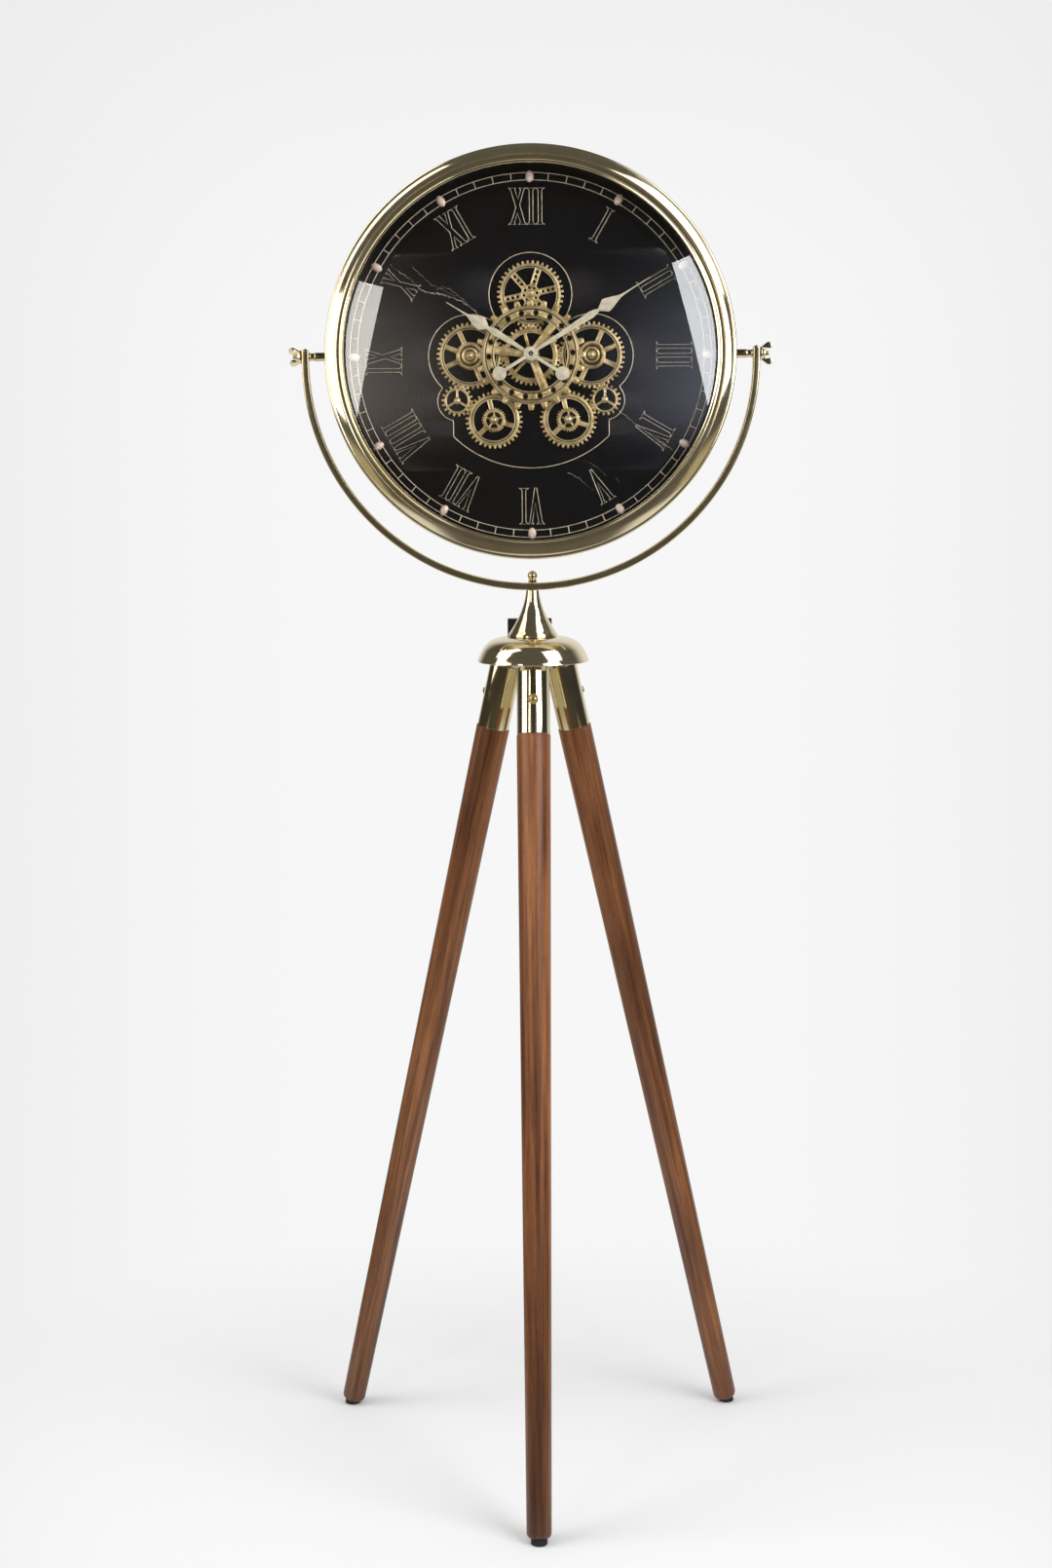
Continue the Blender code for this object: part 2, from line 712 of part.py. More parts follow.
def pivot(head, side, sign):
    """Collared stud riveted into the drum wall, through the yoke ear, and its wing nut."""
    turn = (0, sign * pi / 2, 0)
    facet_dip = STUD_HEAD_RADIUS * sin(pi / LARGE_STEPS)
    inside = drum_radius - DRUM_WALL - GAP - facet_dip
    low = drum_radius + GAP
    high = yoke_inner - GAP
    nut_seat = yoke_outer + GAP
    tip = nut_seat + WING_HUB_LENGTH + STUD_TIP
    head_end = inside - STUD_HEAD_HEIGHT
    profile = [
        (0, tip),
        (PIVOT_RADIUS, tip),
        (PIVOT_RADIUS, high),
        (SPACER_RADIUS, high),
        (SPACER_RADIUS, low),
        (PIVOT_RADIUS, low),
        (PIVOT_RADIUS, inside),
        (STUD_HEAD_RADIUS, inside),
        (STUD_HEAD_RADIUS, head_end),
        (0, head_end),
    ]
    turned("pivot_stud_" + side, "polished_brass", head, profile, PIN_STEPS, turn=turn)

    bore = PIVOT_RADIUS + GAP
    nut_axis = frame("wing_nut_axis_" + side, head, (sign * nut_seat, 0, 0), turn)
    end = WING_HUB_LENGTH
    neck = WING_HUB_RADIUS * WING_NECK_SHARE
    profile = [
        (bore, end),
        (neck, end),
        (WING_HUB_RADIUS, end * WING_FOOT_SHARE),
        (WING_HUB_RADIUS, 0),
        (bore, 0),
    ]
    nut = turned("wing_nut_" + side, "polished_brass", nut_axis, profile, PIN_STEPS)
    root = end * WING_ROOT_SHARE
    centre = (WING_SPAN - WING_LOBE, WING_OUT - WING_LOBE)
    wing = [(bore + GAP, root), (WING_HUB_RADIUS, root)]
    wing += arc(centre, WING_LOBE, -pi / 6, pi * 5 / 6, WING_LOBE_STEPS)
    wing += [(neck, end + GAP), (bore + GAP, end + GAP)]
    half = WING_THICKNESS / 2
    for number in (0, 1):
        turn = (pi / 2, 0, WING_SPINS[side] + number * pi)
        join(nut, flat(f"wing_{side}_{number}", None, nut_axis, [wing], -half, half, turn=turn))
    cut(nut, rod("wing_bore_" + side, None, nut_axis, bore, -OVERRUN, WING_OUT, PIN_STEPS))


# Case: drum, bezel, glass, dial and back cover
LAND_CLEAR = 0.0006
GLASS_RINGS = 4
RING_WALL = 0.002
LIP_CREST = 0.006
BEZEL_SHARES = (
    (0.000, 0.62),
    (0.050, 0.90),
    (0.140, 1.00),
    (0.240, 0.86),
    (0.380, 0.36),
    (0.560, 0.22),
    (0.710, 0.42),
    (0.780, 0.60),
    (0.850, 0.42),
    (0.930, 0.45),
    (1.000, 0.05),
)
FLANGE_WIDTH = 0.012
PLUG_DEPTH = 0.0045


def case_parts(head):
    """Everything that encloses the works, turned round the dial's normal."""
    glass_back = BEZEL_FRONT - LIP_CREST - LAND_CLEAR - GLASS_THICKNESS
    glass_edge = glass_back + GLASS_THICKNESS
    land = glass_edge + GAP
    bore = drum_radius + GAP
    rise = BEZEL_FRONT - land
    profile = [(lip_radius + BEZEL_WIDTH * wide, land + rise * high) for wide, high in BEZEL_SHARES]
    profile += [(BEZEL_RADIUS, BEZEL_SKIRT_END), (bore, BEZEL_SKIRT_END), (bore, land), (lip_radius, land)]
    turned("bezel", "polished_brass", head, profile, LARGE_STEPS)

    wall = drum_radius - DRUM_WALL
    back = drum_back
    flange = drum_radius - FLANGE_WIDTH
    front = glass_back - GAP - DRUM_WALL
    profile = [
        (drum_radius, front),
        (drum_radius, back),
        (flange, back),
        (flange, back + DRUM_WALL),
        (wall, back + DRUM_WALL),
        (wall, seat_back - DRUM_WALL),
        (wall - SEAT_WIDTH, seat_back - DRUM_WALL),
        (wall - SEAT_WIDTH, seat_back),
        (wall, seat_back),
        (wall, front),
    ]
    drum = turned("case_drum", "polished_brass", head, profile, LARGE_STEPS)
    reach = drum_radius + OVERRUN
    hole = PIVOT_RADIUS + GAP
    for side, start in (("right", wall - OVERRUN), ("left", -reach)):
        end = start + DRUM_WALL + 2 * OVERRUN
        cut(drum, rod("drum_hole_" + side, None, head, hole, start, end, PIN_STEPS, turn=(0, pi / 2, 0)))

    rim = wall - GAP
    low = dial_face + GAP
    high = glass_back - GAP
    ring = tube("spacer_ring", "black_metal", head, rim - RING_WALL, rim, low, high, LARGE_STEPS)
    hole = STUD_HEAD_RADIUS + GAP
    turn = (0, pi / 2, 0)
    for side, start in (("right", rim - RING_WALL - OVERRUN), ("left", -rim - OVERRUN)):
        end = start + RING_WALL + 2 * OVERRUN
        cut(ring, rod("ring_hole_" + side, None, head, hole, start, end, PIN_STEPS, turn=turn))

    clear = lip_radius - GAP
    bulge = (clear * clear + GLASS_RISE * GLASS_RISE) / (2 * GLASS_RISE)
    dome = []
    for i in range(GLASS_RINGS + 1):
        radius = clear * i / GLASS_RINGS
        dome.append((radius, sqrt(bulge * bulge - radius * radius) - bulge + GLASS_RISE))
    profile = [(radius, glass_edge + high) for radius, high in dome]
    profile += [(rim, glass_edge), (rim, glass_back)]
    profile += [(radius, glass_back + high) for radius, high in reversed(dome)]
    turned("dome_glass", "glass", head, profile, LARGE_STEPS)

    high = back - GAP
    low = high - COVER_THICKNESS
    plug = flange - GAP
    profile = [
        (drum_radius - GAP, high),
        (drum_radius - GAP, low),
        (ACCESS_RADIUS, low),
        (ACCESS_RADIUS, high),
        (plug - COVER_THICKNESS, high),
        (plug - COVER_THICKNESS, high + PLUG_DEPTH),
        (plug, high + PLUG_DEPTH),
        (plug, high),
    ]
    turned("back_cover", "black_metal", head, profile, LARGE_STEPS)


def lobe_reach(angle, centre, radius):
    """Distance from the hub to the far side of a round lobe, or 0 where it is missed."""
    distance = hypot(*centre)
    off = angle - atan2(centre[1], centre[0])
    side = distance * sin(off)
    if cos(off) <= 0 or abs(side) >= radius:
        return 0
    return distance * cos(off) + sqrt(radius * radius - side * side)


def well_outline(step):
    """The opening in the dial: lobes round the wheels, a round-bottomed bay below."""
    points = []
    shoulder = atan2(abs(idler_centres["right"][1]) + WELL_IDLER_LOBE, WELL_HALF_WIDTH)
    for i in range(ceil(2 * pi / step)):
        angle = i * step
        reach = WELL_CORE
        for centre in ((orbit, 0), (0, orbit), (-orbit, 0)):
            reach = max(reach, lobe_reach(angle, centre, WELL_ORBIT_LOBE))
        for centre in idler_centres.values():
            reach = max(reach, lobe_reach(angle, centre, WELL_IDLER_LOBE))
        if -sin(angle) > sin(shoulder):
            reach = max(reach, min(WELL_BOTTOM, WELL_HALF_WIDTH / max(abs(cos(angle)), GAP)))
        points.append((reach * cos(angle), reach * sin(angle)))
    return points


WELL_STEP = radians(5)
STUD_SHARES = ((0.60, 1.00), (1.00, 0.40), (1.00, 0.00))
CHAPTER_MARGIN = 0.0006
CHAPTER_THICKNESS = 0.0005


def dial_parts(head):
    """Dial plate with its opening, hour studs on their ring, and the plate of the posts."""
    rim = drum_radius - DRUM_WALL - GAP
    loops = [circle(rim, LARGE_STEPS), well_outline(WELL_STEP)]
    flat("dial_plate", "black_dial", head, loops, dial_back, dial_face)

    low = dial_face + GAP
    high = low + CHAPTER_THICKNESS
    half = HOUR_STUD_LENGTH / 2 + CHAPTER_MARGIN
    inner, outer = stud_circle - half, stud_circle + half
    ring = tube("chapter_ring", "pearl", head, inner, outer, low, high, LARGE_STEPS)
    profile = [(0, HOUR_STUD_HEIGHT)]
    profile += [(HOUR_STUD_WIDTH / 2 * wide, HOUR_STUD_HEIGHT * tall) for wide, tall in STUD_SHARES]
    profile.append((0, 0))
    stud = turned("hour_stud_template", None, head, profile, DOME_STEPS)
    placements = []
    for hour in range(HOURS):
        angle = 2 * pi * hour / HOURS
        at = (stud_circle * cos(angle), stud_circle * sin(angle), high - CHAPTER_THICKNESS / 2)
        stretch = Matrix.Scale(HOUR_STUD_LENGTH / HOUR_STUD_WIDTH, 4, (1, 0, 0))
        placements.append(Matrix.Translation(at) @ Matrix.Rotation(angle, 4, "Z") @ stretch)
    join(ring, grouped("hour_studs", head, stud, placements))

    reach = max(WELL_BOTTOM, orbit + WELL_ORBIT_LOBE) + GEAR_PLATE_MARGIN
    loops = [circle(reach, BROAD_STEPS), circle(BUSH_RADIUS + GAP, PIN_STEPS)]
    loops.append(circle(POST_RADIUS + GAP, TINY_STEPS, (0, orbit)))
    plate = flat("gear_plate", "black_metal", head, loops, gear_plate_back, gear_plate_face)
    for name, (centre, seat) in posts.items():
        profile = [
            (0, seat + NUT_HEIGHT / 2),
            (POST_RADIUS, seat + NUT_HEIGHT / 2),
            (POST_RADIUS, wheel_back - GAP),
            (POST_COLLAR, wheel_back - GAP),
            (POST_COLLAR, gear_plate_face - GEAR_PLATE_THICKNESS / 2),
            (0, gear_plate_face - GEAR_PLATE_THICKNESS / 2),
        ]
        join(plate, turned(name + "_post", None, head, profile, DOME_STEPS, (*centre, 0)))


# Wheels
ADDENDUM_SHARE = 0.84
DEDENDUM_SHARE = 1.10
ROOT_SHARE = 0.27
POST_COLLAR = 0.0045
NUT_HEIGHT = 0.0038
NUT_SHARES = ((0.50, 1.00), (0.88, 0.66), (1.00, 0.00))
ORBIT_RIM = 0.0047
ORBIT_HUB = 0.0165
BOSS_RADIUS = 0.0155
TOP_HUB = 0.0085
LOWER_RIM = 0.0059
PINION_RADIUS = 0.0146
PINION_THICKNESS = 0.0027
IDLER_RIM = 0.0025
IDLER_HUB = 0.0035
DRIVE_RIM = 0.0056
DRIVE_HUB = 0.0085
WHEEL_SPOKE = 0.0050
THIN_SPOKE = 0.0032
RING_SPOKE = 0.0100
RING_HUB = 0.0100
COARSE_TOOTH = 0.0070
COARSE_FOOT_SHARE = 0.5
COARSE_CROWN_SHARE = 0.75
COARSE_RIM = 0.0137
ORBIT_SPOKES = tuple(radians(a) for a in (66, 21, -24, -114, -159, 156))
TOP_SPOKES = tuple(radians(12 + 60 * k) for k in range(6))
DRIVE_SPOKES = tuple(radians(105 + 60 * k) for k in range(6))
LOWER_SPOKES = tuple(radians(103 + 120 * k) for k in range(3))
IDLER_SPOKES = tuple(radians(90 + 120 * k) for k in range(3))
RING_SPOKES = tuple(radians(52 + 120 * k) for k in range(3))
RING_HOLE_START = radians(2.4)
WINDOW_STEP = radians(18)


def lower_place(sign):
    across, up = LOWER_SHARES
    return sign * orbit * across, orbit * up


def idler_place(sign):
    """Where an idler meshes with its side wheel and with the lower wheel."""
    side = Vector((sign * orbit, 0))
    lower = Vector(lower_place(sign))
    to_side = MODULE * (IDLER_TEETH + ORBIT_TEETH) / 2
    to_lower = MODULE * (IDLER_TEETH + LOWER_TEETH) / 2
    span = (lower - side).length
    along = (to_side**2 - to_lower**2 + span**2) / (2 * span)
    off = sqrt(to_side**2 - along**2)
    way = (lower - side) / span
    outward = Vector((way.y, -way.x)) * -sign
    return tuple(side + way * along + outward * off)


idler_centres = {"left": idler_place(-1), "right": idler_place(1)}
posts = {}
for side, sign in (("left", -1), ("right", 1)):
    posts[side] = (sign * orbit, 0), wheel_face + BOSS_HEIGHT
    posts[side + "_idler"] = idler_centres[side], wheel_face
    posts[side + "_lower"] = lower_place(sign), wheel_face + PINION_THICKNESS


def mesh_phase(driver_phase, driver_teeth, teeth, direction):
    """First tooth of a wheel so that its gap meets the driver's tooth."""
    offset = (direction - driver_phase) * driver_teeth
    return direction + pi - (pi - offset) / teeth


def toothed_outline(teeth, corners, phase):
    """Straight-sided teeth, each with corners (radius, distance along the rim)."""
    points = []
    for i in range(teeth):
        middle = phase + 2 * pi * i / teeth
        for radius, aside in corners:
            angle = middle + aside / radius
            points.append((radius * cos(angle), radius * sin(angle)))
    return points


def root_radius(teeth):
    return MODULE * (teeth / 2 - DEDENDUM_SHARE)


def gear_outline(teeth, phase):
    root = root_radius(teeth)
    tip = MODULE * (teeth / 2 + ADDENDUM_SHARE)
    foot = pi * MODULE * ROOT_SHARE
    return toothed_outline(teeth, ((root, -foot), (tip, 0), (root, foot)), phase)


def spoke_windows(inner, outer, spokes, width):
    """The openings between straight spokes of one width."""
    half = width / 2
    near = asin(half / inner)
    far = asin(half / outer)
    loops = []
    ordered = sorted(a % (2 * pi) for a in spokes)
    for first, second in zip(ordered, ordered[1:] + [ordered[0] + 2 * pi]):
        start, end = first + far, second - far
        count = max(2, ceil((end - start) / WINDOW_STEP))
        loop = arc((0, 0), outer, start, end, count)
        start, end = second - near, first + near
        if start - end > near:
            loop += arc((0, 0), inner, start, end, max(1, ceil(count / 3)))
        else:
            middle = (start + end) / 2
            loop.append((inner * cos(middle), inner * sin(middle)))
        loops.append(loop)
    return loops


def wheel(name, parent, teeth, phase, rim, hub, spokes, width, bore):
    loops = [gear_outline(teeth, phase)]
    loops += spoke_windows(hub, root_radius(teeth) - rim, spokes, width)
    loops.append(circle(bore, TINY_STEPS))
    return flat(name, "antique_brass", parent, loops, wheel_back, wheel_face)


def gear_train(head):
    """Drive wheel with its front ring, three orbit wheels, two idlers, two lower wheels."""
    running = POST_RADIUS + GAP
    drive_phase = 0
    drive = frame("drive_axis", head, (0, 0, 0))
    bush = BUSH_RADIUS + GAP
    sizes = DRIVE_RIM, DRIVE_HUB, DRIVE_SPOKES, THIN_SPOKE, bush
    made = wheel("drive_wheel", drive, DRIVE_TEETH, drive_phase, *sizes)
    low = gear_plate_face + GAP
    middle = wheel_face - WHEEL_THICKNESS / 2
    join(made, tube("drive_collar", None, drive, bush + GAP, DRIVE_HUB - GAP, low, middle, PIN_STEPS))

    root = coarse_radius - COARSE_TOOTH
    foot = pi * root / COARSE_TEETH * COARSE_FOOT_SHARE
    crown = foot * COARSE_CROWN_SHARE
    corners = ((root, -foot), (coarse_radius, -crown), (coarse_radius, crown), (root, foot))
    outline = toothed_outline(COARSE_TEETH, corners, 0)
    loops = [outline, circle(root - COARSE_RIM, MIDDLE_STEPS)]
    flat("coarse_wheel", "antique_brass", drive, loops, coarse_back, coarse_back + RING_THICKNESS)

    loops = [circle(RING_OUTER, BROAD_STEPS)]
    loops += spoke_windows(RING_HUB, RING_OUTER - RING_WIDTH, RING_SPOKES, RING_SPOKE)
    loops.append(circle(bush, TINY_STEPS))
    hole_circle = RING_OUTER - RING_WIDTH / 2
    for i in range(RING_HOLES):
        a = RING_HOLE_START + 2 * pi * i / RING_HOLES
        loops.append(circle(RING_HOLE_RADIUS, HOLE_STEPS, (hole_circle * cos(a), hole_circle * sin(a))))
    ring = flat("rivet_ring", "antique_brass", drive, loops, ring_back, ring_face)
    collar = RING_HUB - GAP
    low = wheel_face + GAP
    middle = ring_face - RING_THICKNESS / 2
    join(ring, tube("ring_collar", None, drive, bush + GAP, collar, low, middle, PIN_STEPS))

    mirrored = tuple(pi - a for a in ORBIT_SPOKES)
    sides = (("right", 0, ORBIT_SPOKES), ("left", pi, mirrored), ("top", pi / 2, TOP_SPOKES))
    phases = {}
    for side, direction, spokes in sides:
        centre = (orbit * cos(direction), orbit * sin(direction), 0)
        axis = frame(side + "_axis", head, centre)
        phases[side] = mesh_phase(drive_phase, DRIVE_TEETH, ORBIT_TEETH, direction)
        hub = TOP_HUB if side == "top" else ORBIT_HUB
        sizes = ORBIT_RIM, hub, spokes, WHEEL_SPOKE, running
        made = wheel(side + "_wheel", axis, ORBIT_TEETH, phases[side], *sizes)
        middle = wheel_face - WHEEL_THICKNESS / 2
        low, high, wide = middle, wheel_face + BOSS_HEIGHT, BOSS_RADIUS
        if side == "top":
            low, high, wide = gear_plate_face + GAP, middle, POST_COLLAR
        join(made, tube(side + "_boss", None, axis, running + GAP, wide, low, high, KNOB_STEPS))

    for side, sign in (("left", -1), ("right", 1)):
        centre = Vector(idler_centres[side])
        axis = frame(side + "_idler_axis", head, (*centre, 0))
        away = centre - Vector((sign * orbit, 0))
        direction = atan2(away.y, away.x)
        phase = mesh_phase(phases[side], ORBIT_TEETH, IDLER_TEETH, direction)
        sizes = IDLER_RIM, IDLER_HUB, IDLER_SPOKES, THIN_SPOKE, running
        wheel(side + "_idler", axis, IDLER_TEETH, phase, *sizes)

        lower = Vector(lower_place(sign))
        axis = frame(side + "_lower_axis", head, (*lower, 0))
        away = lower - centre
        direction = atan2(away.y, away.x)
        phase = mesh_phase(phase, IDLER_TEETH, LOWER_TEETH, direction)
        sizes = LOWER_RIM, TOP_HUB, LOWER_SPOKES, WHEEL_SPOKE, running
        made = wheel(side + "_lower_wheel", axis, LOWER_TEETH, phase, *sizes)
        low = wheel_face - WHEEL_THICKNESS / 2
        high = wheel_face + PINION_THICKNESS
        join(made, tube(side + "_pinion", None, axis, running + GAP, PINION_RADIUS, low, high, LEG_STEPS))


def gear_nuts(head):
    """The domed nuts that keep the wheels on their posts."""
    bore = POST_RADIUS + GAP
    for name, (centre, seat) in posts.items():
        low = seat + GAP
        deep = seat + NUT_HEIGHT / 2 + GAP
        profile = [(0, low + NUT_HEIGHT)]
        profile += [(NUT_RADIUS * wide, low + NUT_HEIGHT * high) for wide, high in NUT_SHARES]
        profile += [(bore, low), (bore, deep), (0, deep)]
        turned(name + "_nut", "antique_brass", head, profile, DOME_STEPS, (*centre, 0))


# Movement, motor and hands
MOTOR_BORE = 0.0055
HEX_RADIUS = 0.0075
HEX_SIDES = 6
BAY_EDGE = 0.0008


def works(head):
    """Quartz movement with its cell and nut, and the gear motor with its shaft."""
    half = movement_half
    back = works_back - movement_depth
    low, high = (-half, -half, back), (half, half, works_back)
    movement = block("clock_movement", "black_plastic", head, low, high)
    nut_seat = ring_face + GAP
    low = works_back - MOVEMENT_WALL
    join(movement, rod("bush", None, head, BUSH_RADIUS, low, bush_top, PIN_STEPS))
    bore = TUBE_RADIUS + GAP
    cut(movement, rod("bush_bore", None, head, bore, back - OVERRUN, bush_top + OVERRUN, PIN_STEPS))
    cell_y = -half + MOVEMENT_WALL + BAY_EDGE + CELL_RADIUS
    reach = CELL_LENGTH / 2 + BOX_SLACK
    side = CELL_RADIUS + BOX_SLACK
    bay_front = back + 2 * CELL_RADIUS + BOX_SLACK
    low = (-reach, cell_y - side, back - OVERRUN)
    high = (reach, cell_y + side, bay_front)
    cut(movement, block("cell_bay", None, head, low, high))
    battery_cell("clock_cell", head, (0, cell_y, back + CELL_RADIUS))

    loops = [circle(HEX_RADIUS, HEX_SIDES), circle(BUSH_RADIUS + GAP, PIN_STEPS)]
    flat("movement_nut", "polished_brass", head, loops, nut_seat, nut_seat + HEX_HEIGHT)

    low = (-MOTOR_WIDTH / 2, orbit - MOTOR_HEIGHT / 2, works_back - MOTOR_DEPTH)
    high = (MOTOR_WIDTH / 2, orbit + MOTOR_HEIGHT / 2, works_back)
    motor = block("gear_motor", "black_plastic", head, low, high)
    bore = POST_RADIUS + GAP
    deep = works_back - MOTOR_BORE
    cut(motor, rod("motor_bore", None, head, bore, deep, works_back + OVERRUN, TINY_STEPS, (0, orbit, 0)))
    shaft_axis = frame("motor_shaft_axis", head, (0, orbit, 0))
    head_foot = wheel_face + GAP
    profile = [(0, head_foot + NUT_HEIGHT)]
    profile += [(NUT_RADIUS * wide, head_foot + NUT_HEIGHT * high) for wide, high in NUT_SHARES]
    foot = deep + GAP
    profile += [(POST_RADIUS, head_foot), (POST_RADIUS, foot), (0, foot)]
    turned("motor_shaft", "antique_brass", shaft_axis, profile, DOME_STEPS)


# Points along a hand: share of its length, share of the leaf's width
MINUTE_SHARES = (
    (0.049, 0.20),
    (0.510, 0.54),
    (0.540, 0.42),
    (0.572, 0.20),
    (0.602, 0.62),
    (0.630, 1.00),
    (0.668, 0.84),
    (0.720, 0.46),
    (0.785, 0.15),
    (1.000, 0.04),
)
HOUR_SHARES = (
    (0.069, 0.20),
    (0.430, 0.54),
    (0.470, 0.42),
    (0.505, 0.20),
    (0.545, 0.64),
    (0.583, 1.00),
    (0.640, 0.84),
    (0.705, 0.46),
    (0.775, 0.15),
    (1.000, 0.05),
)
DISC_STEPS = 7


def hand_outline(length, shares):
    """One side of a hand from its tail disc to its tip, then mirrored back."""
    rod_half = HAND_ROD / 2
    tail_turn = asin(rod_half / HAND_DISC)
    side = arc((-HAND_TAIL, 0), HAND_DISC, pi, tail_turn, DISC_STEPS)
    first_half = LEAF_WIDTH / 2 * shares[0][1]
    side += arc((0, 0), HAND_DISC, pi - tail_turn, asin(first_half / HAND_DISC), DISC_STEPS)
    side += [(length * along, LEAF_WIDTH / 2 * wide) for along, wide in shares[1:]]
    return side + [(x, -y) for x, y in reversed(side[1:])]


def hands(head):
    """Hour hand on its tube, minute hand, and the setting knob on the minute arbor."""
    hour = frame("hour_axis", head, (0, 0, 0), (0, 0, HOUR_ANGLE))
    minute = frame("minute_axis", head, (0, 0, 0), (0, 0, MINUTE_ANGLE))
    bore = ARBOR_RADIUS + GAP
    outline = hand_outline(HOUR_LENGTH, HOUR_SHARES)
    hand = flat("hour_hand", "cream_enamel", hour, [outline], hour_back, hour_face)
    middle = hour_face - HAND_THICKNESS / 2
    join(hand, rod("hour_tube", None, hour, TUBE_RADIUS, works_back, middle, TINY_STEPS))
    low = works_back - OVERRUN
    cut(hand, rod("hour_bore", None, hour, bore, low, hour_face + OVERRUN, TINY_STEPS))

    loops = [hand_outline(MINUTE_LENGTH, MINUTE_SHARES), circle(bore, TINY_STEPS)]
    flat("minute_hand", "cream_enamel", minute, loops, minute_back, minute_face)
    knob_top = works_back - movement_depth - GAP
    profile = [
        (0, minute_face - GAP),
        (ARBOR_RADIUS, minute_face - GAP),
        (ARBOR_RADIUS, knob_top),
        (KNOB_RADIUS, knob_top),
        (KNOB_RADIUS, knob_top - KNOB_HEIGHT),
        (0, knob_top - KNOB_HEIGHT),
    ]
    turned("set_knob", "black_plastic", minute, profile, TINY_STEPS)


def build():
    tripod = frame("tripod_axis", None, (0, tripod_shift(), 0))
    wide = foot_circle * 2
    floor_block = block("floor_block", None, tripod, (-wide, -wide, -wide), (wide, wide, 0))
    for name, angle in LEG_ANGLES.items():
        leg(name, angle, tripod, floor_block)
    stud_foot = hub_and_pins(tripod)
    canopy_and_spire(tripod, stud_foot)
    battery_box(tripod)
    pan = frame("pan_axis", tripod, (0, 0, 0))
    yoke_bar(pan)
    head = frame("head_axis", pan, (0, 0, pivot_z), (pi / 2 - HEAD_TILT, 0, 0))
    pivot(head, "left", -1)
    pivot(head, "right", 1)
    case_parts(head)
    dial_parts(head)
    gear_train(head)
    gear_nuts(head)
    works(head)
    hands(head)


clear_scene()
CLOCK = new_collection("tripod_floor_clock")
CUTTERS = new_collection("cutters")
build()
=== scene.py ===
"""Looks of the tripod floor clock: an open-geared dial in a brass case, held in a
yoke on three walnut legs.

Shapes are worked out in millimetres and scaled to metres when they become meshes.
The head's own frame has its origin on the tilt axis, X to the right, Y up the dial
and Z out of it towards the viewer. A leg's frame hangs from its hinge along -Z.
"""

from collections import namedtuple
from math import asin, atan2, ceil, cos, hypot, pi, radians, sin, sqrt

import bmesh
import bpy
from mathutils import Matrix, Vector


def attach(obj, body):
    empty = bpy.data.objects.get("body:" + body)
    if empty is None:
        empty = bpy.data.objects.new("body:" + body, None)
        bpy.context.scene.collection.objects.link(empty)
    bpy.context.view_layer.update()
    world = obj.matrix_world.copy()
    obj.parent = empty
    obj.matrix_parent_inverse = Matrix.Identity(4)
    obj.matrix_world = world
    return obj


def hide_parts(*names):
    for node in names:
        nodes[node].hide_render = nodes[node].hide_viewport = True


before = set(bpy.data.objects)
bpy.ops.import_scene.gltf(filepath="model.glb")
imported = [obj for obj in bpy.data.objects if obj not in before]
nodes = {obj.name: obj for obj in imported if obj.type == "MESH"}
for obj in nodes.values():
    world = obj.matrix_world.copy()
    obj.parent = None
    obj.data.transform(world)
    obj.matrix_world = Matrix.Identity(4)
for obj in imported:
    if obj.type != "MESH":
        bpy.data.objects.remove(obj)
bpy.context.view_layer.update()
SCENE = bpy.context.scene.collection
MM = 0.001

# Places, in millimetres
AXIS_Y = 70.611
PIVOT_Z = 1358.992
YOKE_CENTRE_Z = 1352.292
BOLT_SEAT_Z = 1089.292
SPIRE_Z = 1024.692
HINGE_Z = 1003.092
CANOPY_Z = 994.692
HINGE_RADIUS = 34.5
TILT = radians(4.5)
SPLAY = radians(14)
LEG_ANGLES = {"front": radians(-90), "left": radians(150), "right": radians(30)}
NOTHING = 1e-6


def shift(x=0.0, y=0.0, z=0.0):
    return Matrix.Translation((x, y, z))


def turn(angle, axis):
    return Matrix.Rotation(angle, 4, axis)


TRIPOD = shift(0, AXIS_Y, 0)
HEAD = shift(0, AXIS_Y, PIVOT_Z) @ turn(pi / 2 - TILT, "X")
UPRIGHT = turn(pi / 2, "X")
TO_METRES = Matrix.Scale(MM, 4)


def leg_frame(angle):
    at = shift(*polar(HINGE_RADIUS, angle), HINGE_Z)
    return TRIPOD @ at @ turn(angle, "Z") @ turn(-SPLAY, "Y")


# Outlines, as lists of points (x, y)

def polar(radius, angle, centre=(0, 0)):
    return centre[0] + radius * cos(angle), centre[1] + radius * sin(angle)


def spread(count, start=0.0):
    """Angles spread evenly round a circle."""
    return [start + 2 * pi * i / count for i in range(count)]


def circle(radius, count, centre=(0, 0)):
    return [polar(radius, a, centre) for a in spread(count)]


def arc(centre, radius, start, end, count):
    return [polar(radius, start + (end - start) * i / count, centre) for i in range(count + 1)]


def lifted(points, height):
    return [(x, y, height) for x, y in points]


def bend(start, corner, end, steps):
    """Points of a smooth bend from start to end, drawn towards the corner."""
    shares = [k / steps for k in range(steps + 1)]
    return [start * (1 - t) ** 2 + corner * 2 * t * (1 - t) + end * t * t for t in shares]


def fillet(points, radius, closed=True, steps=3):
    """The same outline with its corners rounded off, but for those on the axis."""
    made = []
    count = len(points)
    for i, point in enumerate(points):
        if not closed and i in (0, count - 1):
            made.append(point)
            continue
        here = Vector(point)
        before, after = Vector(points[i - 1]), Vector(points[(i + 1) % count])
        if abs(here.x) < NOTHING and min(abs(before.x), abs(after.x)) < NOTHING:
            made.append(point)
            continue
        reach = min(radius, 0.45 * (before - here).length, 0.45 * (after - here).length)
        start = here + (before - here).normalized() * reach
        end = here + (after - here).normalized() * reach
        for spot in bend(start, here, end, steps):
            made.append((max(spot.x, 0.0) if here.x >= 0 and closed else spot.x, spot.y))
    return made


